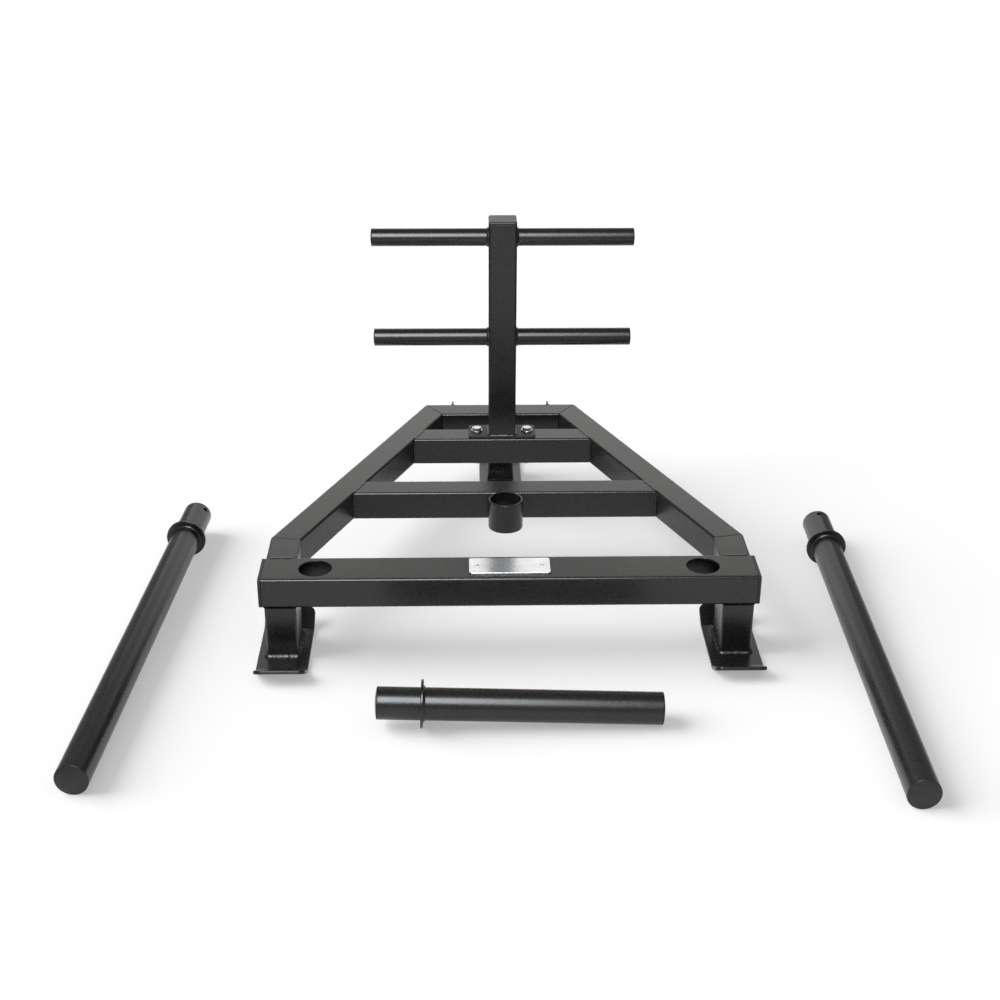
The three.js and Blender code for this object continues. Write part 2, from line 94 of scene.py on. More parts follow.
class Joint(Enum):
    """The forms of a weld run, by the angle that its face sweeps."""

    FILLET = QUARTER
    BUTT = math.pi


@dataclass(frozen=True)
class Signal:
    """A node's output that takes part in Python expressions, which add Math nodes."""

    graph: Graph
    socket: bpy.types.NodeSocket

    def other(self, output: str) -> Signal:
        """Returns another output of the same node."""
        return Signal(self.graph, self.socket.node.outputs[output])

    def _math(self, operation: str, first: object, second: object) -> Signal:
        """Adds a Math node for two values."""
        return self.graph.node("ShaderNodeMath", {"operation": operation}, {0: first, 1: second})

    def __add__(self, value: Signal | float) -> Signal:
        """Adds a value."""
        return self._math("ADD", self, value)

    def __radd__(self, value: float) -> Signal:
        """Adds this to a number."""
        return self._math("ADD", value, self)

    def __sub__(self, value: Signal | float) -> Signal:
        """Takes a value away."""
        return self._math("SUBTRACT", self, value)

    def __rsub__(self, value: float) -> Signal:
        """Takes this away from a number."""
        return self._math("SUBTRACT", value, self)

    def __mul__(self, value: Signal | float) -> Signal:
        """Multiplies by a value."""
        return self._math("MULTIPLY", self, value)

    def __rmul__(self, value: float) -> Signal:
        """Multiplies a number by this."""
        return self._math("MULTIPLY", value, self)

    def __or__(self, value: Signal | float) -> Signal:
        """Keeps the larger of two values."""
        return self._math("MAXIMUM", self, value)


class Graph:
    """A node tree of a material or the world, and the one way to add nodes to it."""

    def __init__(self, owner: bpy.types.Material | bpy.types.World) -> None:
        """Empties the owner's node tree.

        Args:
            owner: the material or world whose nodes are written.
        """
        owner.use_nodes = True
        self.tree = owner.node_tree
        self.tree.nodes.clear()

    def node(
        self,
        kind: str,
        settings: Mapping[str, object] | None = None,
        inputs: Inputs | None = None,
        output: str | int = 0,
    ) -> Signal:
        """Adds a node.

        Args:
            kind: the node's type.
            settings: its own settings, or "stops" for a ramp's places and greys.
            inputs: the values or links of its sockets, by name or place.
            output: the output that is wanted.

        Returns:
            That output, or the first one of a node that has none by that place.
        """
        made = self.tree.nodes.new(kind)
        for name, value in (settings or {}).items():
            if name == "stops":
                self._set_stops(made, value)
            else:
                setattr(made, name, value)
        for key, value in (inputs or {}).items():
            if isinstance(value, Signal):
                self.tree.links.new(value.socket, made.inputs[key])
            else:
                made.inputs[key].default_value = value
        return Signal(self, made.outputs[output])

    @staticmethod
    def _set_stops(ramp: bpy.types.Node, stops: Sequence[tuple[float, float]]) -> None:
        """Gives a ramp its grey stops.

        Args:
            ramp: a ColorRamp node.
            stops: each stop's place and grey.
        """
        elements = ramp.color_ramp.elements
        while len(elements) < len(stops):
            elements.new(0.5)
        for element, (place, grey) in zip(elements, stops):
            element.position = place
            element.color = (grey, grey, grey, 1)

    def end(self, kind: str, shader: Signal) -> None:
        """Leads a shader to the tree's output.

        Args:
            kind: the output node's type.
            shader: what it shows.
        """
        made = self.tree.nodes.new(kind)
        self.tree.links.new(shader.socket, made.inputs["Surface"])

    def noise(self, coords: Signal, size: float, detail: float = 2.0) -> Signal:
        """Adds cloudy noise.

        Args:
            coords: where it is looked up.
            size: the size of its features in the units of coords.
            detail: how many finer layers it has.

        Returns:
            The noise, about 0.5 in the middle.
        """
        inputs = {"Vector": coords, "Scale": 1 / size, "Detail": detail}
        return self.node("ShaderNodeTexNoise", inputs=inputs)

    def stretch(self, coords: Signal, factors: tuple[float, float, float]) -> Signal:
        """Multiplies a vector by one factor along each axis."""
        settings = {"operation": "MULTIPLY"}
        return self.node("ShaderNodeVectorMath", settings, {0: coords, 1: factors})

    def ramp(self, value: Signal, *stops: tuple[float, float]) -> Signal:
        """Sends a value through grey stops."""
        return self.node("ShaderNodeValToRGB", {"stops": stops}, {0: value})

    def blend(self, share: Signal | float, first: Colour | Signal, second: Colour | Signal) -> Signal:
        """Mixes two colours.

        Args:
            share: how much of the second colour shows.
            first: the colour at 0.
            second: the colour at 1.

        Returns:
            The mixed colour.
        """
        inputs: dict[str | int, object] = {0: share}
        for place, colour in zip(MIX_COLOURS, (first, second)):
            inputs[place] = colour if isinstance(colour, Signal) else (*colour, 1)
        return self.node("ShaderNodeMix", {"data_type": "RGBA"}, inputs, output=MIX_RESULT)

    def bump(self, height: Signal, depth: float) -> Signal:
        """Turns a height into a normal.

        Args:
            height: the height from 0 to 1.
            depth: how deep 1 is, in metres.

        Returns:
            The normal.
        """
        return self.node("ShaderNodeBump", inputs={"Height": height, "Distance": depth})

    def object_coords(self) -> Signal:
        """Returns the place on the piece, in metres."""
        return self.node("ShaderNodeTexCoord", output="Object")


@dataclass(frozen=True)
class Pattern:
    """What varies over a finish."""

    paleness: Signal
    roughness: Signal
    height: Signal
    depth: float


@dataclass(frozen=True)
class Finish:
    """A finish: its name, the material slot that it belongs to, and what it is made of."""

    name: str
    slot: Slot
    deep: Colour
    pale: Colour
    roughness: float
    ior: float = 1.5
    metallic: float = 0.0
    fade: tuple[float, float] = (0.35, 0.65)

    def pattern(self, graph: Graph) -> Pattern:
        """Draws what varies over the finish."""
        raise NotImplementedError

    def material(self) -> bpy.types.Material:
        """Makes this finish's material, or finds it where it was made before.

        Returns:
            The material.
        """
        made = bpy.data.materials.get(self.name)
        if made is None:
            made = bpy.data.materials.new(self.name)
            graph = Graph(made)
            pattern = self.pattern(graph)
            paleness = graph.ramp(pattern.paleness, (self.fade[0], 0.0), (self.fade[1], 1.0))
            inputs = {
                "Base Color": graph.blend(paleness, self.deep, self.pale),
                "Metallic": self.metallic,
                "Roughness": pattern.roughness,
                "IOR": self.ior,
                "Normal": graph.bump(pattern.height, pattern.depth),
            }
            surface = graph.node("ShaderNodeBsdfPrincipled", inputs=inputs)
            graph.end("ShaderNodeOutputMaterial", surface)
        return made


@dataclass(frozen=True)
class PowderCoat(Finish):
    """Satin black powder coat: a fine pebbled skin with speckles and a slow mottle under it."""

    name: str = "satin_powder_coat"
    slot: Slot = Slot.COAT
    deep: Colour = (0.008, 0.0076, 0.0073)
    pale: Colour = (0.016, 0.0152, 0.0145)
    roughness: float = 0.28
    fade: tuple[float, float] = (0.4, 0.6)
    roughness_spread: float = 0.06
    speckle_spread: float = 0.06
    speckle_share: float = 0.6
    mottle_share: float = 0.2
    pebble_share: float = 0.2
    grit_share: float = 0.3
    mottle_size: float = 0.03
    speckle_size: float = 0.0045
    pebble_size: float = 0.0011
    grit_size: float = 0.0004
    pebble_depth: float = 0.000028

    def pattern(self, graph: Graph) -> Pattern:
        """Draws the coat from four sizes of noise.

        Args:
            graph: the material's node tree.

        Returns:
            What varies over it.
        """
        coords = graph.object_coords()
        mottle = graph.noise(coords, self.mottle_size, detail=4)
        speckle = graph.noise(coords, self.speckle_size, detail=1)
        pebble = graph.noise(coords, self.pebble_size, detail=2)
        grit = graph.noise(coords, self.grit_size, detail=1)
        paleness = mottle * self.mottle_share + speckle * self.speckle_share
        paleness += pebble * self.pebble_share
        rough = self.roughness + (mottle - 0.5) * self.roughness_spread
        rough += (speckle - 0.5) * self.speckle_spread
        height = pebble * (1 - self.grit_share) + grit * self.grit_share
        return Pattern(paleness, rough, height, self.pebble_depth)


@dataclass(frozen=True)
class MouldedPlastic(Finish):
    """Black moulded plastic of the end caps, with a fine spark-eroded grain."""

    name: str = "moulded_black_plastic"
    slot: Slot = Slot.PLASTIC
    deep: Colour = (0.011, 0.011, 0.0115)
    pale: Colour = (0.02, 0.0195, 0.019)
    roughness: float = 0.38
    ior: float = 1.47
    cloud_size: float = 0.012
    cloud_spread: float = 0.1
    grain_size: float = 0.0006
    grain_spread: float = 0.16
    grain_depth: float = 0.00005

    def pattern(self, graph: Graph) -> Pattern:
        """Draws the plastic from its grain and soft clouds.

        Args:
            graph: the material's node tree.

        Returns:
            What varies over it.
        """
        coords = graph.object_coords()
        cloud = graph.noise(coords, self.cloud_size, detail=3)
        grain = graph.noise(coords, self.grain_size, detail=2)
        rough = self.roughness + (grain - 0.5) * self.grain_spread + (cloud - 0.5) * self.cloud_spread
        return Pattern(cloud, rough, grain, self.grain_depth)


@dataclass(frozen=True)
class ZincPlate(Finish):
    """Bright zinc on the bolts, washers and nuts, a little cloudy."""

    name: str = "bright_zinc"
    slot: Slot = Slot.ZINC
    deep: Colour = (0.52, 0.54, 0.56)
    pale: Colour = (0.82, 0.84, 0.86)
    roughness: float = 0.26
    metallic: float = 1.0
    fade: tuple[float, float] = (0.3, 0.7)
    cloud_size: float = 0.006
    cloud_spread: float = 0.2
    mark_size: float = 0.0008
    mark_stretch: tuple[float, float, float] = (1.0, 1.0, 6.0)
    mark_spread: float = 0.1
    mark_depth: float = 0.00002

    def pattern(self, graph: Graph) -> Pattern:
        """Draws the zinc from clouds and fine tool marks.

        Args:
            graph: the material's node tree.

        Returns:
            What varies over it.
        """
        coords = graph.object_coords()
        cloud = graph.noise(coords, self.cloud_size, detail=3)
        marks = graph.noise(graph.stretch(coords, self.mark_stretch), self.mark_size, detail=2)
        rough = self.roughness + (cloud - 0.5) * self.cloud_spread + (marks - 0.5) * self.mark_spread
        return Pattern(cloud, rough, marks, self.mark_depth)


@dataclass(frozen=True)
class BrushedSteel(Finish):
    """Brushed bare steel, its brush lines along X."""

    name: str = "brushed_bare_steel"
    slot: Slot = Slot.STEEL
    deep: Colour = (0.68, 0.69, 0.71)
    pale: Colour = (0.88, 0.88, 0.89)
    roughness: float = 0.15
    metallic: float = 1.0
    line_size: float = 0.0005
    line_stretch: float = 0.02
    line_spread: float = 0.2
    line_depth: float = 0.000012
    cloud_size: float = 0.02
    cloud_share: float = 0.4

    def pattern(self, graph: Graph) -> Pattern:
        """Draws the steel from noise that is drawn out along the brush lines.

        Args:
            graph: the material's node tree.

        Returns:
            What varies over it.
        """
        coords = graph.object_coords()
        brushed = graph.stretch(coords, (self.line_stretch, 1.0, 1.0))
        lines = graph.noise(brushed, self.line_size, detail=3)
        cloud = graph.noise(coords, self.cloud_size, detail=3)
        paleness = lines * (1 - self.cloud_share) + cloud * self.cloud_share
        rough = self.roughness + (lines - 0.5) * self.line_spread
        return Pattern(paleness, rough, lines, self.line_depth)


def heading(angle: float) -> Vector:
    """Returns the way at an angle from X."""
    return Vector((math.cos(angle), math.sin(angle)))


@dataclass(frozen=True)
class Section:
    """A closed outline, anticlockwise, with the way out at each of its points."""

    points: tuple[Vector, ...]
    normals: tuple[Vector, ...]
    flat_starts: tuple[int, ...] = ()

    @classmethod
    def round(cls, radius: float, count: int = TUBE_FACES) -> Section:
        """Makes a circle that starts at +X."""
        normals = tuple(heading(2 * math.pi * step / count) for step in range(count))
        return cls(tuple(normal * radius for normal in normals), normals)

    @classmethod
    def box(
        cls,
        width: float,
        height: float,
        corner: float,
        flat_cuts: tuple[int, int] = (1, 1),
        corner_steps: int = 6,
    ) -> Section:
        """Makes a rectangle with rounded corners.

        Args:
            width: its size along X.
            height: its size along Y.
            corner: the radius of its corners.
            flat_cuts: how many faces share a horizontal flat and a vertical one.
            corner_steps: how many faces share a corner.

        Returns:
            The outline, with the places in it where its four flats start.
        """
        right, top = width / 2 - corner, height / 2 - corner
        places = ((right, top), (-right, top), (-right, -top), (right, -top))
        centres = [Vector(place) for place in places]
        points: list[Vector] = []
        normals: list[Vector] = []
        flat_starts: list[int] = []
        for index, centre in enumerate(centres):
            for step in range(corner_steps + 1):
                normals.append(heading((index + step / corner_steps) * QUARTER))
                points.append(centre + normals[-1] * corner)
            flat_starts.append(len(points) - 1)
            flat_start = points[-1]
            flat_end = centres[(index + 1) % 4] + normals[-1] * corner
            cuts = flat_cuts[index % 2]
            for cut in range(1, cuts):
                points.append(flat_start.lerp(flat_end, cut / cuts))
                normals.append(normals[-1])
        return cls(tuple(points), tuple(normals), tuple(flat_starts))

    def circle_inside(self, centre: Vector, radius: float) -> Section:
        """Makes a circle whose points lie toward this outline's points, seen from its centre."""
        normals = tuple((point - centre).normalized() for point in self.points)
        return Section(tuple(centre + normal * radius for normal in normals), normals)

    def inset(self, depth: float) -> list[Vector]:
        """Returns the outline's points moved in by a depth."""
        return [point - normal * depth for point, normal in zip(self.points, self.normals)]

    def between(self, index: float, depth: float) -> Vector:
        """Finds a point between two of the outline's points.

        Args:
            index: its place along the outline, in points.
            depth: how far it is moved in.

        Returns:
            The point.
        """
        count = len(self.points)
        low = math.floor(index)
        share = index - low
        first, second = low % count, (low + 1) % count
        point = self.points[first].lerp(self.points[second], share)
        normal = self.normals[first].lerp(self.normals[second], share).normalized()
        return point - normal * depth


@dataclass(frozen=True)
class Run:
    """Where a straight piece runs: its middle line, and how its two ends are cut.

    Across x up = along, and a slope says how much further an end reaches for each metre across.
    """

    origin: Vector
    along: Vector
    end: float
    start: float = 0.0
    up: Vector = field(default_factory=lambda: Z_AXIS.copy())
    start_slope: float = 0.0
    end_slope: float = 0.0

    @property
    def across(self) -> Vector:
        """The way across the piece."""
        return self.up.cross(self.along)

    def place(self, point: Vector, share: float, shift: float = 0.0) -> Vector:
        """Places a point of the section.

        Args:
            point: its place across and up.
            share: how far along the piece it is, from 0 to 1.
            shift: a further move along the piece, in metres.

        Returns:
            The point in space.
        """
        first = self.start + self.start_slope * point.x
        last = self.end + self.end_slope * point.x
        reach = first + (last - first) * share + shift
        return self.origin + self.across * point.x + self.up * point.y + self.along * reach

    def direction(self, normal: Vector) -> Vector:
        """Turns a way across and up into one in space."""
        return self.across * normal.x + self.up * normal.y


@dataclass(frozen=True)
class WallHole:
    """A round hole through a tube's wall, in a patch of the wall's grid."""

    first_column: int
    columns: int
    first_row: int
    rows: int
    radius: float
    rim: float = 0.0006


class Skin:
    """The points and faces of a piece while it is made."""

    def __init__(self) -> None:
        """Starts with nothing."""
        self.points: list[Vector] = []
        self.faces: list[tuple[int, ...]] = []

    def ring(self, points: Iterable[Vector]) -> list[int]:
        """Adds points.

        Args:
            points: the points, in order.

        Returns:
            Their numbers.
        """
        start = len(self.points)
        self.points.extend(points)
        return list(range(start, len(self.points)))

    def bridge(self, first: Sequence[int], second: Sequence[int], skip: Iterable[int] = ()) -> None:
        """Joins two closed rings with faces.

        Args:
            first: the point numbers of one ring.
            second: those of the other, as many of them.
            skip: the places round the rings that stay open.
        """
        left_out = set(skip)
        for here in range(len(first)):
            if here not in left_out:
                there = (here + 1) % len(first)
                self.faces.append((first[here], first[there], second[there], second[here]))

    def chain(self, rings: Sequence[Sequence[int]]) -> None:
        """Joins rings in order."""
        for first, second in zip(rings, rings[1:]):
            self.bridge(first, second)

    def stack(self, rings: Sequence[Sequence[int]], cyclic: bool = False) -> None:
        """Joins rings in order to a closed skin.

        Args:
            rings: the point numbers of each ring.
            cyclic: whether the last ring joins the first, or else both ends get a face.
        """
        self.chain(rings)
        if cyclic:
            self.bridge(rings[-1], rings[0])
        else:
            self.faces.append(tuple(reversed(rings[0])))
            self.faces.append(tuple(rings[-1]))

    def piece(self, name: str, sharp_from: float = math.radians(38)) -> bpy.types.Object:
        """Turns the skin into an object with smooth rounds, crisp corners and even flats.

        Args:
            name: the object's name.
            sharp_from: the least angle of an edge that stays crisp.

        Returns:
            The object.
        """
        mesh = bpy.data.meshes.new(name)
        grown = bmesh.new()
        corners = [grown.verts.new(point) for point in self.points]
        for face in self.faces:
            grown.faces.new([corners[number] for number in face]).smooth = True
        bmesh.ops.remove_doubles(grown, verts=grown.verts, dist=SAME_POINT)
        bmesh.ops.recalc_face_normals(grown, faces=grown.faces)
        for edge in grown.edges:
            edge.smooth = not (edge.is_manifold and edge.calc_face_angle() > sharp_from)
        grown.to_mesh(mesh)
        grown.free()
        made = bpy.data.objects.new(name, mesh)
        bpy.context.scene.collection.objects.link(made)
        evened = made.modifiers.new("even_flats", "WEIGHTED_NORMAL")
        evened.keep_sharp = True
        return made


def edge_steps(edge: float, steps: int = 4) -> list[tuple[float, float]]:
    """Walks round an edge's quarter circle.

    Args:
        edge: its radius.
        steps: how many faces share it.

    Returns:
        Pairs of how far in and how far down each point is, from the face to the side.
    """
    angles = [QUARTER * step / steps for step in range(steps + 1)]
    return [(edge * (1 - math.sin(angle)), edge * (1 - math.cos(angle))) for angle in angles]


def sleeve(
    run: Run,
    outer: Section,
    wall: float,
    edge: float,
    shares: Sequence[float] = (),
    holes: Sequence[WallHole] = (),
) -> Skin:
    """Makes an open tube with softened end edges.

    Args:
        run: where it runs.
        outer: its outer outline.
        wall: its wall.
        edge: the radius of the outer edge at its ends.
        shares: where it has further rows of points, from 0 to 1 along it.
        holes: round holes through its wall, by columns of the outline and rows of the shares.

    Returns:
        The closed skin of its wall.
    """
    skin = Skin()

    def row(depth: float, share: float, shift: float = 0.0) -> list[int]:
        """Adds one ring of the tube."""
        return skin.ring(run.place(point, share, shift) for point in outer.inset(depth))

    softened = edge_steps(edge)
    outside = [row(0.0, share) for share in shares]
    inside = [row(wall, share) for share in shares]
    start = [row(depth, 0.0, shift) for depth, shift in softened]
    finish = [row(depth, 1.0, -shift) for depth, shift in reversed(softened)]
    rings = [*start, *outside, *finish, row(wall, 1.0), *reversed(inside), row(wall, 0.0)]
    gaps: dict[int, set[int]] = {}
    for hole in holes:
        columns = range(hole.first_column, hole.first_column + hole.columns)
        for line in range(hole.first_row, hole.first_row + hole.rows):
            # The inner rows run backwards, and the last of them is the tube's start.
            for place in (len(start) + line, len(rings) - 3 - line):
                gaps.setdefault(place, set()).update(columns)
        pierce(skin, run, outer, wall, hole, shares, (outside, inside))
    for place, ring in enumerate(rings):
        skin.bridge(ring, rings[(place + 1) % len(rings)], gaps.get(place, ()))
    return skin


def pierce(
    skin: Skin,
    run: Run,
    outer: Section,
    wall: float,
    hole: WallHole,
    shares: Sequence[float],
    grids: tuple[list[list[int]], list[list[int]]],
) -> None:
    """Joins the edge of a gap in a tube's wall to a round hole with softened rims.

    Args:
        skin: the tube's skin.
        run: where the tube runs.
        outer: its outer outline.
        wall: its wall.
        hole: the hole and its patch.
        shares: where the tube's rows are.
        grids: the point numbers of the outer and the inner rows.
    """
    left, low = hole.first_column, hole.first_row
    right, high = left + hole.columns, low + hole.rows
    border = [(column, low) for column in range(left, right)]
    border += [(right, line) for line in range(low, high)]
    border += [(column, high) for column in range(right, left, -1)]
    border += [(left, line) for line in range(high, low, -1)]
    middle_column = (left + right) / 2
    middle_share = (shares[low] + shares[high]) / 2
    length = run.end - run.start
    size = len(outer.points)
    pace = (outer.points[(left + 1) % size] - outer.points[left % size]).length
    ways = [
        Vector(((column - middle_column) * pace, (shares[line] - middle_share) * length)).normalized()
        for column, line in border
    ]

    def loop(radius: float, depth: float) -> list[int]:
        """Adds one ring of the hole.

        Args:
            radius: how far its points lie from the hole's axis.
            depth: how deep in the wall they lie.

        Returns:
            The numbers of its points.
        """
        return skin.ring(
            run.place(
                outer.between(middle_column + way.x * radius / pace, depth),
                middle_share,
                way.y * radius,
            )
            for way in ways
        )

    rim = edge_steps(hole.rim)
    loops = [loop(hole.radius + spread, depth) for depth, spread in reversed(rim)]
    loops += [loop(hole.radius + spread, wall - depth) for depth, spread in rim]
    outside, inside = grids
    rings = [[outside[line][column % size] for column, line in border], *loops]
    rings.append([inside[line][column % size] for column, line in border])
    skin.chain(rings)


def slab(
    run: Run, outer: Section, edge: float, inner: Section | None = None, seat_edge: float | None = None
) -> Skin:
    """Makes a plate with softened edges.

    Args:
        run: its place, and its thickness as the run's length.
        outer: its outline.
        edge: the radius of its edges.
        inner: a hole through it with as many points as the outline.
        seat_edge: the radius of the edge where its run starts, if that is another one.

    Returns:
        Its skin.
    """
    skin = Skin()
    seat = edge_steps(edge if seat_edge is None else seat_edge)
    walk = [(depth, 0.0, shift) for depth, shift in seat]
    walk += [(depth, 1.0, -shift) for depth, shift in reversed(edge_steps(edge))]

    def row(section: Section, depth: float, share: float, shift: float) -> list[int]:
        """Adds one ring of the plate."""
        return skin.ring(run.place(point, share, shift) for point in section.inset(depth))

    rings = [row(outer, *step) for step in walk]
    if inner is not None:
        rings += [row(inner, -depth, share, shift) for depth, share, shift in reversed(walk)]
    skin.stack(rings, cyclic=inner is not None)
    return skin


def turned(run: Run, profile: Sequence[tuple[float, float]], count: int = CAP_FACES) -> Skin:
    """Makes a turned piece.

    Args:
        run: its axis.
        profile: its radius and its place along the axis, from end to end.
        count: how many faces go round it.

    Returns:
        Its skin, closed at both ends.
    """
    skin = Skin()
    circle = Section.round(1.0, count)
    skin.stack([
        skin.ring(run.place(point * radius, 0.0, height) for point in circle.points)
        for radius, height in profile
    ])
    return skin


@dataclass(frozen=True)
class Bead:
    """How a run of weld looks under its paint: lengths, and shares of its own size."""

    joint: Joint = Joint.FILLET
    reach: float = 0.0042
    height: float = 0.0042
    crown: float = 0.86
    ripple: float = 0.1
    ripple_bow: float = 0.42
    ripple_power: float = 0.6
    wander: float = 0.16
    wander_scale: float = 2.2
    ripples_in_wave: float = 12.0
    pitch: float = 0.0034
    sink: float = 0.0004
    end_size: float = 0.45
    end_growth: float = 0.16
    face_steps: int = 8
    ripple_steps: int = 5


@dataclass(frozen=True)
class Stop:
    """A place on a weld's path, and the ways in which its two feet spread."""

    place: Vector
    first: Vector
    second: Vector


def paced(path: Sequence[Stop], step: float, closed: bool) -> list[Stop]:
    """Walks a weld's path in even steps.

    Args:
        path: its stops.
        step: about how long a step is.
        closed: whether it ends where it starts.

    Returns:
        Stops at even distances, without the start again at the end.
    """
    stops = [*path, path[0]] if closed else list(path)
    marks = [0.0]
    for here, there in zip(stops, stops[1:]):
        marks.append(marks[-1] + (there.place - here.place).length)
    count = max(2, round(marks[-1] / step))
    walked: list[Stop] = []
    leg = 0
    for number in range(count if closed else count + 1):
        mark = marks[-1] * number / count
        while leg < len(stops) - 2 and marks[leg + 1] < mark:
            leg += 1
        span = marks[leg + 1] - marks[leg]
        share = (mark - marks[leg]) / span if span else 0.0
        here, there = stops[leg], stops[leg + 1]
        walked.append(Stop(
            here.place.lerp(there.place, share),
            here.first.lerp(there.first, share).normalized(),
            here.second.lerp(there.second, share).normalized(),
        ))
    return walked


def weld(path: Sequence[Stop], bead: Bead, closed: bool = True, seed: float = 0.0) -> Skin:
    """Lays a weld bead with its overlapping ripples along a path.

    Args:
        path: its stops.
        bead: how it looks.
        closed: whether it ends where it starts.
        seed: which part of the noise shapes it.

    Returns:
        Its skin.
    """
    skin = Skin()
    walked = paced(path, bead.pitch / bead.ripple_steps, closed)
    length = sum((b.place - a.place).length for a, b in zip(walked, walked[1:]))
    ripples = max(1, round(len(walked) / bead.ripple_steps))
    radius_in_noise = length / bead.pitch / bead.ripples_in_wave
    seed_place = Vector([seed * step for step in SEED_STEPS])
    rings: list[list[int]] = []
    for number, stop in enumerate(walked):
        share = number / len(walked)
        turn = 2 * math.pi * share
        taper = 1.0
        if closed:
            probe = Vector((math.cos(turn), math.sin(turn), 0)) * radius_in_noise
        else:
            probe = Vector((turn * radius_in_noise, 0, 0))
            to_end = min(number, len(walked) - 1 - number)
            taper = min(1.0, bead.end_size + bead.end_growth * to_end)
        wander = 1 + bead.wander * noise.noise((probe + seed_place) * bead.wander_scale)
        points = []
        for step in range(bead.face_steps + 1):
            angle = bead.joint.value * step / bead.face_steps
            bow = math.sin(math.pi * step / bead.face_steps)
            phase = share * ripples - bead.ripple_bow * bow
            scallop = abs(math.sin(math.pi * phase)) ** bead.ripple_power
            size = wander * taper * (1 - bead.ripple + bead.ripple * scallop)
            if bead.joint is Joint.FILLET:
                size *= 1 - (1 - bead.crown) * bow
            first = stop.first * (math.cos(angle) * bead.reach * size)
            second = stop.second * (math.sin(angle) * bead.height * size)
            points.append(stop.place + first + second)
        points[0] -= stop.second * bead.sink
        if bead.joint is Joint.FILLET:
            points[-1] -= stop.first * bead.sink
            points.append(stop.place - (stop.first + stop.second) * bead.sink)
        else:
            points[-1] -= stop.second * bead.sink
        rings.append(skin.ring(points))
    skin.stack(rings, cyclic=closed)
    return skin


def ring_path(
    run: Run,
    section: Section,
    share: float,
    along: float,
    flat: bool = False,
    shift: float = 0.0,
    stretch: tuple[int, int] | None = None,
) -> list[Stop]:
    """Leads a weld round a tube.

    Args:
        run: where the tube runs.
        section: its outline.
        share: where along it the weld is, from 0 to 1.
        along: 1 or -1, the way along the tube in which the weld's second foot spreads.
        flat: whether the weld lies flat over a seam, so that its first foot spreads along the tube.
        shift: a further move along the tube.
        stretch: the first and last place in the outline, where the weld doesn't go all round.

    Returns:
        The weld's stops.
    """
    stops = []
    count = len(section.points)
    first, last = stretch or (0, count - 1)
    for number in range(first, last + 1):
        outward = run.direction(section.normals[number % count])
        onward = run.along * along
        feet = (onward, outward) if flat else (outward, onward)
        stops.append(Stop(run.place(section.points[number % count], share, shift), *feet))
    return stops


def middle(node: str) -> Vector:
    """Returns the middle of a CAD node's box."""
    low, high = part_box(node)
    return (low + high) / 2


def side_face(node: str, side: int) -> float:
    """Returns where a CAD node's box ends along X, on the left for -1 and on the right for 1."""
    low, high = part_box(node)
    return low.x if side < 0 else high.x


def standing(centre: Vector, start: float, end: float) -> Run:
    """Makes a vertical run through a point, from one height to another."""
    way = Z_AXIS if end > start else -Z_AXIS
    return Run(Vector((centre.x, centre.y, start)), way, abs(end - start), up=Y_AXIS)


def standing_node(node: str) -> tuple[Run, Vector]:
    """Fits a run along +Z to a CAD node's box, and returns it with the box's size."""
    low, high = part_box(node)
    return standing(middle(node), low.z, high.z), high - low


@dataclass
class Assembly:
    """A sub-assembly: it builds its pieces, dresses them and hangs them on its body."""

    body: str = "sled"
    coat: Finish = field(default_factory=PowderCoat)
    weld_coat: Finish = field(default_factory=lambda: PowderCoat(
        name="coat_over_welds", roughness=0.3, roughness_spread=0.1, pebble_depth=0.00003,
    ))
    plastic: Finish = field(default_factory=MouldedPlastic)

    def build(self) -> None:
        """Builds every piece."""
        raise NotImplementedError

    def add(self, skin: Skin, name: str, finish: Finish, *nodes: str) -> bpy.types.Object:
        """Makes a dressed piece of a skin.

        Args:
            skin: its shape.
            name: its name.
            finish: its finish.
            nodes: the CAD nodes that it stands for.

        Returns:
            The piece, riding on this sub-assembly's body.
        """
        made = skin.piece(name)
        made.data.materials.append(finish.material())
        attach(made, self.body)
        if nodes:
            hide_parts(*nodes)
        log.info("%s: %d points, %s", name, len(made.data.vertices), finish.name)
        return made

    def finish_node(self, skin: Skin, node: str, finish: Finish) -> bpy.types.Object:
        """Makes the finished piece that stands for one CAD node."""
        return self.add(skin, f"{node}_finished", finish, node)

    def add_weld(self, name: str, path: Sequence[Stop], bead: Bead, closed: bool = True) -> None:
        """Adds one painted weld run.

        Args:
            name: the joint that it makes.
            path: its stops.
            bead: how it looks.
            closed: whether it ends where it starts.
        """
        seed = sum(map(ord, name)) % WELD_SEEDS
        self.add(weld(path, bead, closed, seed), f"weld_{name}", self.weld_coat)

    def stand_tube(self, node: str, corner: float, wall: float, edge: float) -> tuple[Run, Section]:
        """Builds an upright square tube.

        Args:
            node: the CAD node that it stands for.
            corner: the radius of its corners.
            wall: its wall.
            edge: the radius of its end edges.

        Returns:
            Its run and its outline.
        """
        run, size = standing_node(node)
        outline = Section.box(size.x, size.y, corner)
        self.finish_node(sleeve(run, outline, wall, edge), node, self.coat)
        return run, outline

    def lay_plate(self, node: str, corner: float, edge: float, finish: Finish) -> None:
        """Builds a level plate.

        Args:
            node: the CAD node that it stands for.
            corner: the radius of its corners.
            edge: the radius of its edges.
            finish: its finish.
        """
        run, size = standing_node(node)
        self.finish_node(slab(run, Section.box(size.x, size.y, corner), edge), node, finish)


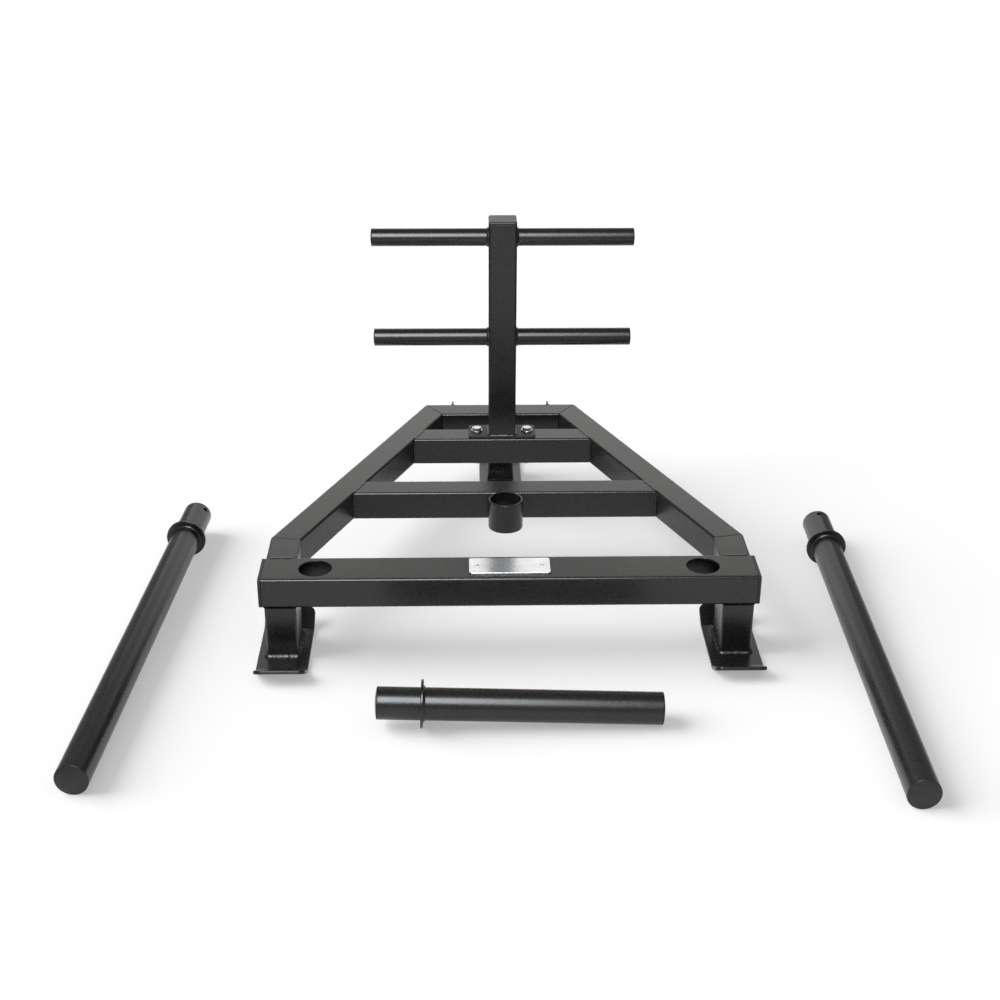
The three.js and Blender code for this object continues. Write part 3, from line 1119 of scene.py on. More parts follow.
@dataclass
class PushBar(Assembly):
    """The wide bar that the handles stand in, with its end caps."""

    corner: float = 0.004
    wall: float = 0.003
    end_edge: float = 0.0005
    hole_radius: float = 0.0266
    hole_rim: float = 0.0009
    hole_inset: float = 0.089
    hole_cuts: int = 16
    cap_edge: float = 0.0016

    def build(self) -> None:
        """Builds the bar and its caps."""
        self._bar()
        for side_name, side in SIDES.items():
            self._cap(f"push_bar_cap_{side_name}", side)

    def _bar(self) -> None:
        """Builds the tube with its two through holes."""
        low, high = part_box("push_bar")
        size = high - low
        centre = middle("push_bar")
        run = Run(Vector((low.x, centre.y, centre.z)), X_AXIS, size.x)
        outline = Section.box(size.y, size.z, self.corner, (self.hole_cuts, 1))
        patch = size.y - 2 * self.corner
        shares: list[float] = []
        holes: list[WallHole] = []
        for side_name, side in SIDES.items():
            hole_x = side_face(f"push_bar_cap_{side_name}", side) - side * self.hole_inset
            start = hole_x - patch / 2 - low.x
            first_row = len(shares)
            for cut in range(self.hole_cuts + 1):
                shares.append((start + patch * cut / self.hole_cuts) / size.x)
            for flat in (0, 2):
                holes.append(WallHole(
                    outline.flat_starts[flat], self.hole_cuts, first_row, self.hole_cuts,
                    self.hole_radius, self.hole_rim,
                ))
        tube = sleeve(run, outline, self.wall, self.end_edge, shares, holes)
        self.finish_node(tube, "push_bar", self.coat)

    def _cap(self, node: str, side: int) -> None:
        """Builds the cap on one end.

        Args:
            node: the CAD node that it stands for.
            side: -1 or 1.
        """
        low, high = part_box(node)
        seat = middle(node)
        seat.x = side_face("push_bar", side)
        run = Run(seat, X_AXIS * side, abs(side_face(node, side) - seat.x))
        outline = Section.box(high.y - low.y, high.z - low.z, self.corner)
        self.finish_node(slab(run, outline, self.cap_edge), node, self.plastic)


@dataclass
class BarePlate(Assembly):
    """The brushed plate on the push bar, and its two rivets."""

    corner: float = 0.004
    edge: float = 0.0005
    dome_steps: int = 8
    dome_flat: float = 0.00001
    steel: Finish = field(default_factory=BrushedSteel)

    def build(self) -> None:
        """Builds the plate and the rivets."""
        self.lay_plate("bare_plate", self.corner, self.edge, self.steel)
        for side_name in SIDES:
            self._rivet(f"plate_rivet_{side_name}")

    def _rivet(self, node: str) -> None:
        """Builds the low dome of one rivet.

        Args:
            node: the CAD node that it stands for.
        """
        low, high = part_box(node)
        run = standing(middle(node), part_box("bare_plate")[1].z, high.z)
        radius = (high.x - low.x) / 2
        angles = [QUARTER * step / self.dome_steps for step in range(self.dome_steps + 1)]
        dome = [
            (radius * math.cos(angle) + self.dome_flat, run.end * math.sin(angle)) for angle in angles
        ]
        self.finish_node(turned(run, dome, BOLT_FACES), node, self.steel)


@dataclass
class SideFrame(Assembly):
    """The stubs, the slanted rails, the nose bar and the two crossbars, mitred and welded."""

    corner: float = 0.004
    wall: float = 0.003
    end_edge: float = 0.0013
    seam_depth: float = 0.0022
    seam: Bead = Bead(
        Joint.BUTT, reach=0.0012, height=0.0009, ripple=0.12, wander=0.3, pitch=0.004, sink=0.0006,
    )
    flush_shift: float = 0.0016
    flush: Bead = Bead(
        Joint.BUTT, reach=0.0026, height=0.0008, ripple=0.12, wander=0.4, pitch=0.005, sink=0.0012,
    )
    groove_depth: float = 0.001
    groove: Bead = Bead(
        Joint.BUTT, reach=0.0052, height=0.0016, ripple=0.05, wander=0.3, pitch=0.006, sink=0.0015,
    )
    fillet: Bead = Bead(reach=0.0026, height=0.0026)

    def build(self) -> None:
        """Builds the tubes of the frame and the welds between them."""
        self._measure()
        for side_name, side in SIDES.items():
            self._stub(side_name, side)
            self._rail(side_name, side)
        self._level_bar("nose_bar", self.nose_mitre / 2, -self.nose_mitre / self.side)
        for node in ("socket_bar", "post_bar"):
            self._crossbar(node)

    def _measure(self) -> None:
        """Works out the slant of the rails from the ends of the stubs and the nose bar."""
        stub_low, stub_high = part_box("side_stub_right")
        nose_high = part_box("nose_bar")[1]
        self.side = stub_high.x - stub_low.x
        self.level = (stub_low.z + stub_high.z) / 2
        self.stub_corner = Vector((stub_high.x, stub_high.y, self.level))
        self.nose_corner = Vector((nose_high.x, nose_high.y, self.level))
        slant = self.nose_corner - self.stub_corner
        self.turn = math.atan2(-slant.x, slant.y)
        self.stub_mitre = self.side * math.tan(self.turn / 2)
        self.nose_mitre = self.side * math.tan((QUARTER - self.turn) / 2)
        self.section = Section.box(self.side, self.side, self.corner)

    def _tube(self, node: str, run: Run) -> None:
        """Builds one tube of the frame."""
        self.finish_node(sleeve(run, self.section, self.wall, self.end_edge), node, self.coat)

    def _seam(self, name: str, centre: Vector, normal: Vector, width: float) -> None:
        """Lays a flat weld round a mitred seam.

        Args:
            name: the joint.
            centre: the middle of the seam.
            normal: the way along the tubes, square to the seam.
            width: how wide the cut tube is in the seam's plane.
        """
        sunk = 2 * self.seam_depth
        outline = Section.box(width - sunk, self.side - sunk, self.corner - self.seam_depth)
        run = Run(centre, normal, 0.0)
        self.add_weld(name, ring_path(run, outline, 0.0, 1, flat=True), self.seam)

    def _stub(self, side_name: str, side: int) -> None:
        """Builds the stub behind one end of the push bar, welded to the bar.

        Args:
            side_name: left or right.
            side: -1 or 1.
        """
        node = f"side_stub_{side_name}"
        low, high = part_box(node)
        origin = Vector((middle(node).x, low.y, self.level))
        reach = high.y - low.y - self.stub_mitre / 2
        run = Run(origin, Y_AXIS, reach, end_slope=-side * self.stub_mitre / self.side)
        self._tube(node, run)
        below = (self.section.flat_starts[1], len(self.section.points))
        path = ring_path(run, self.section, 0.0, 1, stretch=below)
        self.add_weld(f"stub_{side_name}", path, self.fillet, closed=False)
        sunk = 2 * self.groove_depth
        low_top = Section.box(self.side, self.side - sunk, self.corner)
        above = (low_top.flat_starts[0], low_top.flat_starts[0] + 1)
        path = ring_path(run, low_top, 0.0, 1, flat=True, shift=-self.flush_shift, stretch=above)
        self.add_weld(f"stub_top_{side_name}", path, self.groove, closed=False)

    def _rail(self, side_name: str, side: int) -> None:
        """Builds one slanted rail and the seams at its two ends.

        Args:
            side_name: left or right.
            side: -1 or 1.
        """
        along = Vector((-side * math.sin(self.turn), math.cos(self.turn), 0))
        inward = Vector((-side * math.cos(self.turn), -math.sin(self.turn), 0))
        corner = Vector((side * self.stub_corner.x, self.stub_corner.y, self.level))
        far_corner = Vector((side * self.nose_corner.x, self.nose_corner.y, self.level))
        length = (far_corner - corner).length
        origin = corner + inward * self.side / 2
        half_stub = self.stub_mitre / 2
        half_nose = self.nose_mitre / 2
        run = Run(
            origin, along, length - half_nose, start=half_stub,
            start_slope=side * self.stub_mitre / self.side,
            end_slope=-side * self.nose_mitre / self.side,
        )
        self._tube(f"side_rail_{side_name}", run)
        bisected = (Y_AXIS + along).normalized()
        stub_seam = origin + along * half_stub
        self._seam(f"rail_{side_name}", stub_seam, bisected, self.side / math.cos(self.turn / 2))
        nose_way = (along + X_AXIS * -side).normalized()
        nose_seam = origin + along * (length - half_nose)
        nose_width = self.side / math.cos((QUARTER - self.turn) / 2)
        self._seam(f"nose_{side_name}", nose_seam, nose_way, nose_width)

    def _level_bar(self, node: str, cut: float, slope: float) -> Run:
        """Builds a tube along X whose two ends are cut alike.

        Args:
            node: the CAD node that it stands for.
            cut: how far its middle line falls short of its box at each end.
            slope: how the cut of its left end leans.

        Returns:
            The tube's run.
        """
        low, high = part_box(node)
        origin = Vector((low.x, middle(node).y, self.level))
        run = Run(origin, X_AXIS, high.x - low.x - cut, start=cut, start_slope=slope, end_slope=-slope)
        self._tube(node, run)
        return run

    def _crossbar(self, node: str) -> None:
        """Builds a crossbar, its ends cut to the slant of the rails, and its eight welds.

        Args:
            node: the CAD node that it stands for.
        """
        slope = math.tan(self.turn)
        run = self._level_bar(node, self.side * slope / 2, slope)
        for side_name, share, along in (("left", 0.0, 1), ("right", 1.0, -1)):
            for face, start in zip(("top", "rear", "bottom", "front"), self.section.flat_starts):
                flat = face in ("top", "bottom")
                shift = -along * self.flush_shift if flat else 0.0
                path = ring_path(run, self.section, share, along, flat, shift, (start, start + 1))
                bead = self.flush if flat else self.fillet
                self.add_weld(f"{node}_{side_name}_{face}", path, bead, closed=False)


@dataclass
class PostSocket(Assembly):
    """The ring that the weight post drops into, welded to its crossbar."""

    wall: float = 0.0035
    rim: float = 0.001
    weld_spread: float = 0.0105
    weld_lean: float = 0.5
    bead: Bead = Bead(reach=0.0055, height=0.0055)

    def build(self) -> None:
        """Builds the ring and its two upright welds."""
        low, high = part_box("post_socket")
        radius = (high.x - low.x) / 2
        run = standing(Vector((0, low.y + radius, 0)), low.z, high.z)
        ring = sleeve(run, Section.round(radius), self.wall, self.rim)
        self.finish_node(ring, "post_socket", self.coat)
        bar_low, bar_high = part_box("socket_bar")
        for side_name, side in SIDES.items():
            ring_way = Vector((side * self.weld_lean, -1, 0)).normalized()
            path = [
                Stop(Vector((side * self.weld_spread, bar_low.y, height)), X_AXIS * side, ring_way)
                for height in (low.z + self.rim, bar_high.z - self.rim)
            ]
            self.add_weld(f"post_socket_{side_name}", path, self.bead, closed=False)


@dataclass
class LegsAndSkids(Assembly):
    """The three legs, each welded on a skid that is bent up at both ends."""

    corner: float = 0.004
    wall: float = 0.003
    end_edge: float = 0.0006
    plate: float = 0.006
    plate_edge: float = 0.0014
    bend_radius: float = 0.012
    lip_angle: float = math.radians(30)
    lip_length: float = 0.043
    plan_corner: float = 0.012
    width_cuts: int = 12
    bend_steps: int = 8
    corner_steps: int = 8
    edge_cuts: int = 4
    foot_beads: Mapping[str, Bead] = field(default_factory=lambda: {
        "left": Bead(reach=0.0052, height=0.0052, ripple=0.07, wander=0.2, pitch=0.0055),
        "right": Bead(reach=0.0042, height=0.0042, ripple=0.03, wander=0.14, pitch=0.0075),
        "nose": Bead(reach=0.0015, height=0.0015, ripple=0.04, wander=0.2, pitch=0.006),
    })
    top_bead: Bead = Bead(reach=0.0015, height=0.0015)

    def build(self) -> None:
        """Builds each leg, its skid and the welds at its head and foot."""
        for place in ("left", "right", "nose"):
            self._skid(f"skid_{place}")
            self._leg(place)

    def _leg(self, place: str) -> None:
        """Builds one leg.

        Args:
            place: left, right or nose.
        """
        node = f"leg_{place}"
        run, outline = self.stand_tube(node, self.corner, self.wall, self.end_edge)
        self.add_weld(f"{node}_foot", ring_path(run, outline, 0.0, 1), self.foot_beads[place])
        self.add_weld(f"{node}_head", ring_path(run, outline, 1.0, -1), self.top_bead)

    def _skid(self, node: str) -> None:
        """Builds one skid as a plate that follows its bends.

        Args:
            node: the CAD node that it stands for.
        """
        low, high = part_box(node)
        centre = middle(node)
        half_width = (high.x - low.x) / 2
        outer_radius = self.bend_radius + self.plate
        rise = self.lip_length - outer_radius * math.tan(self.lip_angle / 2)
        lip_reach = outer_radius * math.sin(self.lip_angle) + rise * math.cos(self.lip_angle)
        flat_half = (high.y - low.y) / 2 - lip_reach
        bend = (self.bend_radius + self.plate / 2) * self.lip_angle
        total = flat_half + bend + rise
        stations = self._stations(flat_half, bend, total)
        flat_cuts = (self.width_cuts, 1)
        skin = Skin()
        rings = []
        for mark, inset in stations:
            place, slope = self._on_path(mark, flat_half, bend)
            gap = total - abs(mark)
            width = half_width
            if gap < self.plan_corner:
                width += math.sqrt(self.plan_corner ** 2 - (self.plan_corner - gap) ** 2)
                width -= self.plan_corner
            outline = Section.box(2 * width, self.plate, self.plate_edge, flat_cuts, self.edge_cuts)
            normal = Vector((0, -math.sin(slope), math.cos(slope)))
            station = Vector((centre.x, centre.y + place.x, low.z + place.y))
            rings.append(skin.ring(
                station - X_AXIS * point.x + normal * point.y for point in outline.inset(inset)
            ))
        skin.stack(rings)
        self.finish_node(skin, node, self.coat)

    def _stations(self, flat_half: float, bend: float, total: float) -> list[tuple[float, float]]:
        """Lists where the skid's rings are.

        Args:
            flat_half: half the length of its flat.
            bend: the length of a bend along the plate's middle.
            total: half the whole plate's length along its middle.

        Returns:
            Each ring's place along the plate, and how far it is drawn in.
        """
        marks = [flat_half + bend * step / self.bend_steps for step in range(self.bend_steps + 1)]
        for step in range(self.corner_steps):
            marks.append(total - self.plan_corner * (1 - math.sin(QUARTER * step / self.corner_steps)))
        right = [(mark, 0.0) for mark in marks if mark < total - self.plate_edge]
        right += [(total - shift, depth) for depth, shift in reversed(edge_steps(self.plate_edge))]
        left = [(-mark, inset) for mark, inset in reversed(right)]
        return [*left, (0.0, 0.0), *right]

    def _on_path(self, mark: float, flat_half: float, bend: float) -> tuple[Vector, float]:
        """Follows the middle of the plate.

        Args:
            mark: the distance from its middle.
            flat_half: half the length of its flat.
            bend: the length of a bend.

        Returns:
            The place along Y and up, and the slope there.
        """
        side = math.copysign(1, mark)
        reach = abs(mark)
        radius = self.bend_radius + self.plate / 2
        angle = min(max(reach - flat_half, 0) / radius, self.lip_angle)
        lip = max(reach - flat_half - bend, 0)
        along = min(reach, flat_half) + radius * math.sin(angle) + lip * math.cos(self.lip_angle)
        height = self.plate / 2 + radius * (1 - math.cos(angle)) + lip * math.sin(self.lip_angle)
        return Vector((side * along, height)), side * angle


@dataclass
class TowTabs(Assembly):
    """The two tabs with eyes that stand out in front of the nose bar."""

    edge: float = 0.0007
    eye_radius: float = 0.009
    straight_cuts: int = 8
    arc_steps: int = 24
    bead: Bead = Bead(reach=0.003, height=0.003)

    def build(self) -> None:
        """Builds both tabs and their welds."""
        for side_name in SIDES:
            self._tab(f"tow_tab_{side_name}")

    def _tab(self, node: str) -> None:
        """Builds one tab.

        Args:
            node: the CAD node that it stands for.
        """
        low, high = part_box(node)
        radius = (high.z - low.z) / 2
        straight = high.y - low.y - radius
        run = Run(Vector((low.x, low.y, middle(node).z)), X_AXIS, high.x - low.x)
        outline = self._outline(radius, straight)
        eye = outline.circle_inside(Vector((straight, 0)), self.eye_radius)
        self.finish_node(slab(run, outline, self.edge, eye), node, self.coat)
        for face, x, way in (("inner", low.x, -1), ("outer", high.x, 1)):
            path = [Stop(Vector((x, low.y, z)), X_AXIS * way, Y_AXIS) for z in (low.z, high.z)]
            self.add_weld(f"{node}_{face}", path, self.bead, closed=False)

    def _outline(self, radius: float, straight: float) -> Section:
        """Draws a tab's outline: a straight root and a round end.

        Args:
            radius: the radius of its end.
            straight: the length before its end.

        Returns:
            The outline, with extra points along its straight sides.
        """
        points: list[Vector] = []
        normals: list[Vector] = []
        for step in range(self.arc_steps + 1):
            normals.append(heading(-QUARTER + math.pi * step / self.arc_steps))
            points.append(Vector((straight, 0)) + normals[-1] * radius)
        ways = [Vector((0, 1)), Vector((-1, 0)), Vector((0, -1))]
        places = ((straight, radius), (0, radius), (0, -radius), (straight, -radius))
        corners = [Vector(place) for place in places]
        for first, second, way in zip(corners, corners[1:], ways):
            for cut in range(1, self.straight_cuts + 1):
                points.append(first.lerp(second, cut / self.straight_cuts))
                normals.append(way)
        return Section(tuple(points[:-1]), tuple(normals[:-1]))


def round_cap(run: Run, radius: float, edge: float, crown: float) -> Skin:
    """Makes the visible disc of a round end cap, crowned to its middle.

    Args:
        run: its axis, from the tube's end out to the crown's middle.
        radius: the tube's radius.
        edge: the radius of its outer edge.
        crown: how much further out its middle is than its rim.

    Returns:
        Its skin.
    """
    seat_edge = 0.0003
    seat_middle = 0.4
    crown_shares = (0.9, 0.8, 0.7, 0.6, 0.45, 0.3, 0.15, 0.05)
    rim = run.end - crown
    profile = [(radius * seat_middle, 0.0), (radius - 2 * seat_edge, 0.0)]
    profile += [(radius - seat_edge, seat_edge / 3), (radius, seat_edge), (radius, rim - edge)]
    profile += [(radius - depth, rim - shift) for depth, shift in reversed(edge_steps(edge, steps=5))]
    for share in crown_shares:
        profile.append(((radius - edge) * share, rim + crown * (1 - share * share)))
    return turned(run, profile)


@dataclass
class Upright(Assembly):
    """The bolted upright: its base plate, tube, top cap and four side grips."""

    corner: float = 0.004
    wall: float = 0.003
    end_edge: float = 0.0005
    plate_corner: float = 0.006
    plate_edge: float = 0.0008
    cap_edge: float = 0.003
    cap_seat_edge: float = 0.0003
    grip_wall: float = 0.0025
    grip_edge: float = 0.0004
    grip_cap_edge: float = 0.0008
    grip_cap_crown: float = 0.0015
    foot_bead: Bead = Bead(reach=0.003, height=0.003, ripple=0.02, wander=0.25, pitch=0.012)
    grip_bead: Bead = Bead(reach=0.0024, height=0.004, ripple=0.05, pitch=0.006)
    plate_coat: Finish = PowderCoat(name="coat_on_base_plate", roughness=0.5, pebble_depth=0.0001)

    def build(self) -> None:
        """Builds the upright from its plate to its grips."""
        self.lay_plate("upright_base_plate", self.plate_corner, self.plate_edge, self.plate_coat)
        self._tube()
        for row in ("upper", "lower"):
            for side_name, side in SIDES.items():
                self._grip(row, side_name, side)

    def _tube(self) -> None:
        """Builds the tube, its foot weld and its top cap."""
        run, outline = self.stand_tube("upright", self.corner, self.wall, self.end_edge)
        self.add_weld("upright_foot", ring_path(run, outline, 0.0, 1), self.foot_bead)
        cap_run = standing(run.origin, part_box("upright")[1].z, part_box("upright_cap")[1].z)
        cap = slab(cap_run, outline, self.cap_edge, seat_edge=self.cap_seat_edge)
        self.finish_node(cap, "upright_cap", self.plastic)

    def _grip(self, row: str, side_name: str, side: int) -> None:
        """Builds one side grip with its root weld and its cap.

        Args:
            row: upper or lower.
            side_name: left or right.
            side: -1 or 1.
        """
        node = f"{row}_grip_{side_name}"
        cap_node = f"{row}_grip_cap_{side_name}"
        low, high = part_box(node)
        radius = (high.z - low.z) / 2
        root = middle(node)
        root.x = side_face(node, -side)
        run = Run(root, X_AXIS * side, high.x - low.x)
        outline = Section.round(radius, GRIP_FACES)
        self.finish_node(sleeve(run, outline, self.grip_wall, self.grip_edge), node, self.coat)
        self.add_weld(node, ring_path(run, outline, 0.0, 1), self.grip_bead)
        seat = run.origin + run.along * run.end
        disc = Run(seat, run.along, abs(side_face(cap_node, side) - seat.x))
        cap = round_cap(disc, radius, self.grip_cap_edge, self.grip_cap_crown)
        self.finish_node(cap, cap_node, self.plastic)


@dataclass
class BaseBolts(Assembly):
    """The two bolts through the base plate, with their washers and nuts."""

    washer_edge: float = 0.0007
    washer_play: float = 0.0005
    shank_radius: float = 0.005
    shank_tip: float = 0.001
    thread_pitch: float = 0.0015
    thread_depth: float = 0.0008
    zinc: Finish = field(default_factory=ZincPlate)

    def build(self) -> None:
        """Builds both sets."""
        for side_name in SIDES:
            self._bolt(side_name)
            for row in ("top", "lower"):
                self._washer(f"{row}_washer_{side_name}")
            node = f"base_nut_{side_name}"
            low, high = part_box(node)
            nut = hexagon(standing(middle(node), high.z, low.z), high.x - low.x)
            self.finish_node(nut, node, self.zinc)

    def _bolt(self, side_name: str) -> None:
        """Builds a bolt: its head, and its shank with the thread that shows under the nut.

        Args:
            side_name: left or right.
        """
        node = f"base_bolt_{side_name}"
        low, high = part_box(node)
        centre = middle(node)
        head_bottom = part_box(f"top_washer_{side_name}")[1].z
        head = hexagon(standing(centre, head_bottom, high.z), high.x - low.x)
        self.finish_node(head, node, self.zinc)
        run = standing(centre, low.z, head_bottom)
        profile = [(self.shank_radius - self.shank_tip, 0.0), (self.shank_radius, self.shank_tip)]
        turns = int((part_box(f"base_nut_{side_name}")[1].z - low.z) / self.thread_pitch)
        for turn in range(1, turns):
            height = self.shank_tip + turn * self.thread_pitch
            profile.append((self.shank_radius - self.thread_depth, height - self.thread_pitch / 2))
            profile.append((self.shank_radius, height))
        profile.append((self.shank_radius, run.end))
        self.add(turned(run, profile, BOLT_FACES), f"base_bolt_shank_{side_name}", self.zinc)

    def _washer(self, node: str) -> None:
        """Builds a washer round the bolt.

        Args:
            node: the CAD node that it stands for.
        """
        run, size = standing_node(node)
        outline = Section.round(size.x / 2, WASHER_FACES)
        hole = outline.circle_inside(Vector((0, 0)), self.shank_radius + self.washer_play)
        self.finish_node(slab(run, outline, self.washer_edge, hole), node, self.zinc)


def hexagon(run: Run, flats: float) -> Skin:
    """Makes a hexagonal head whose outer face is chamfered to a circle and a little hollow.

    Args:
        run: its axis, from its seat to its outer face.
        flats: its size across flats.

    Returns:
        Its skin.
    """
    side_cuts = 8
    seat_share = 0.985
    seat_edge = 0.0003
    face_share = 0.84
    hollows = ((1.0, 0.0), (0.7, 0.0003), (0.2, 0.0004))
    inner_radius = flats / 2
    face_radius = inner_radius * face_share
    chamfer = math.tan(math.radians(30))
    reach = inner_radius / math.cos(math.pi / 6)
    turns = [math.pi / 6 + math.pi / 3 * index for index in range(7)]
    corners = [heading(turn) * reach for turn in turns]
    outline = [
        corner.lerp(following, cut / side_cuts)
        for corner, following in zip(corners, corners[1:])
        for cut in range(side_cuts)
    ]
    skin = Skin()
    rings = [
        skin.ring(run.place(point * seat_share, 0.0) for point in outline),
        skin.ring(run.place(point, 0.0, seat_edge) for point in outline),
        skin.ring(
            run.place(point, 1.0, -max(point.length - face_radius, 0) * chamfer) for point in outline
        ),
    ]
    for share, hollow in hollows:
        circle = [point.normalized() * (face_radius * share) for point in outline]
        rings.append(skin.ring(run.place(point, 1.0, -hollow) for point in circle))
    skin.stack(rings)
    return skin


@dataclass
class LooseTube(Assembly):
    """A loose tube on the floor: its round tube, its welded collar and a cap at each end."""

    name: str = "weight_post"
    length: float = 0.4375
    insertion: float = 0.069
    collar_thickness: float = 0.004
    collar_edge: float = 0.0011
    collar_play: float = 0.0001
    wall: float = 0.0025
    wall_edge: float = 0.0004
    cap_thickness: float = 0.004
    cap_edge: float = 0.0006
    cap_crown: float = 0.0028
    end_gap: float = 0.0003
    axis_nodes: tuple[str, str] = ("tube", "collar")
    roll: float = 0.0
    bead: Bead = Bead(reach=0.003, height=0.003, ripple=0.03, wander=0.12, pitch=0.005)

    def build(self) -> None:
        """Builds the tube, its collar with the weld, and what closes its ends."""
        self._find_axis()
        self._collar()
        self._tube()
        self._cap(self.cap_thickness, -1, f"{self.name}_outer_cap")
        self._inner_end()

    def _find_axis(self) -> None:
        """Finds the tube's axis between the middles of two of its CAD nodes."""
        first, second = (middle(f"{self.name}_{part}") for part in self.axis_nodes)
        along = (second - first).normalized()
        up = (Z_AXIS - along * Z_AXIS.dot(along)).normalized()
        rolled = up * math.cos(self.roll) - up.cross(along) * math.sin(self.roll)
        collar_at = self.length - self.insertion - self.collar_thickness / 2
        origin = middle(f"{self.name}_collar") - along * collar_at
        self.run = Run(origin, along, self.length, up=rolled)
        self.radius = self._reach_of("tube")

    def _reach_of(self, part: str) -> float:
        """Returns how far the vertices of one of its CAD nodes lie from the axis."""
        vertices = bpy.data.objects[f"{self.name}_{part}"].data.vertices
        return max((vertex.co - self.run.origin).cross(self.run.along).length for vertex in vertices)

    def _part(self, start: float, end: float) -> Run:
        """Returns the stretch of the tube's run from start to end."""
        run = self.run
        return Run(run.origin + run.along * start, run.along, end - start, up=run.up)

    def _collar(self) -> None:
        """Builds the collar and its weld on the grip side."""
        rear = self.length - self.insertion - self.collar_thickness
        run = self._part(rear, rear + self.collar_thickness)
        outline = Section.round(self._reach_of("collar"))
        hole = outline.circle_inside(Vector((0, 0)), self.radius + self.collar_play)
        self.finish_node(slab(run, outline, self.collar_edge, hole), f"{self.name}_collar", self.coat)
        path = ring_path(run, Section.round(self.radius), 0.0, -1)
        self.add_weld(f"{self.name}_collar", path, self.bead)

    def _tube(self) -> None:
        """Builds the tube's wall between the caps."""
        seat = self.cap_thickness + self.end_gap
        run = self._part(seat, self.length - seat)
        tube = sleeve(run, Section.round(self.radius), self.wall, self.wall_edge)
        self.finish_node(tube, f"{self.name}_tube", self.coat)

    def _cap(self, seat: float, way: int, node: str) -> None:
        """Builds an end cap.

        Args:
            seat: where along the run it seats.
            way: 1 or -1, the way out along the run.
            node: the CAD node that it stands for.
        """
        place = self.run.origin + self.run.along * seat
        run = Run(place, self.run.along * way, self.cap_thickness, up=self.run.up)
        self.finish_node(round_cap(run, self.radius, self.cap_edge, self.cap_crown), node, self.plastic)

    def _inner_end(self) -> None:
        """Builds the cap at the inner end."""
        self._cap(self.length - self.cap_thickness, 1, f"{self.name}_inner_cap")


@dataclass
class PushHandle(LooseTube):
    """A loose push handle, with a hole for its locking pin and a plug in its tip."""

    length: float = 0.826
    insertion: float = 0.0925
    collar_thickness: float = 0.005
    wall_edge: float = 0.0005
    axis_nodes: tuple[str, str] = ("tube", "tip_plug")
    pin_radius: float = 0.0045
    pin_setback: float = 0.012
    pin_rim: float = 0.0004
    pin_patch: float = 0.014
    pin_cuts: int = 8
    plug_thickness: float = 0.003
    plug_inset: float = 0.0005
    plug_edge: float = 0.0006

    def _tube(self) -> None:
        """Builds the tube's wall up to the tip, with the pin hole through both of its sides."""
        start = self.cap_thickness + self.end_gap
        run = self._part(start, self.length)
        outline = Section.round(self.radius)
        first = self.length - self.pin_setback - start - self.pin_patch / 2
        cuts = self.pin_cuts
        shares = [(first + self.pin_patch * cut / cuts) / run.end for cut in range(cuts + 1)]
        columns = (turn * TUBE_FACES // 4 - cuts // 2 for turn in (1, 3))
        holes = [WallHole(column, cuts, 0, cuts, self.pin_radius, self.pin_rim) for column in columns]
        tube = sleeve(run, outline, self.wall, self.wall_edge, shares, holes)
        self.finish_node(tube, f"{self.name}_tube", self.coat)

    def _inner_end(self) -> None:
        """Builds the plug that is set into the tip."""
        end = self.length - self.plug_inset
        run = self._part(end - self.plug_thickness, end)
        outline = Section.round(self.radius - self.wall - self.end_gap, CAP_FACES)
        self.finish_node(slab(run, outline, self.plug_edge), f"{self.name}_tip_plug", self.plastic)


@dataclass(frozen=True)
class PhotoCamera:
    """The photograph's camera, found by fitting a pinhole camera to the sled's corners."""

    place: tuple[float, float, float] = (-0.071008, -2.93831, 1.36813)
    down: float = math.radians(25.744)
    turn: float = math.radians(1.382)
    roll: float = math.radians(0.246)
    lens: float = 58.16
    sensor: float = 36.0

    def build(self) -> None:
        """Adds the camera and makes it the scene's own."""
        data = bpy.data.cameras.new("photo_camera")
        data.lens = self.lens
        data.sensor_width = self.sensor
        camera = bpy.data.objects.new("photo_camera", data)
        bpy.context.scene.collection.objects.link(camera)
        level = Vector((math.sin(self.turn), math.cos(self.turn), 0))
        forward = level * math.cos(self.down) - Z_AXIS * math.sin(self.down)
        right = Vector((math.cos(self.turn), -math.sin(self.turn), 0))
        up = right.cross(forward)
        rolled_right = right * math.cos(self.roll) + up * math.sin(self.roll)
        rolled_up = up * math.cos(self.roll) - right * math.sin(self.roll)
        turned_axes = Matrix((rolled_right, rolled_up, -forward)).transposed().to_4x4()
        camera.matrix_world = Matrix.Translation(self.place) @ turned_axes
        bpy.context.scene.camera = camera


@dataclass(frozen=True)
class SoftBox:
    """A rectangular lamp that shows in reflections only."""

    name: str
    place: tuple[float, float, float]
    aim: tuple[float, float, float]
    size: tuple[float, float]
    watts: float
    colour: Colour


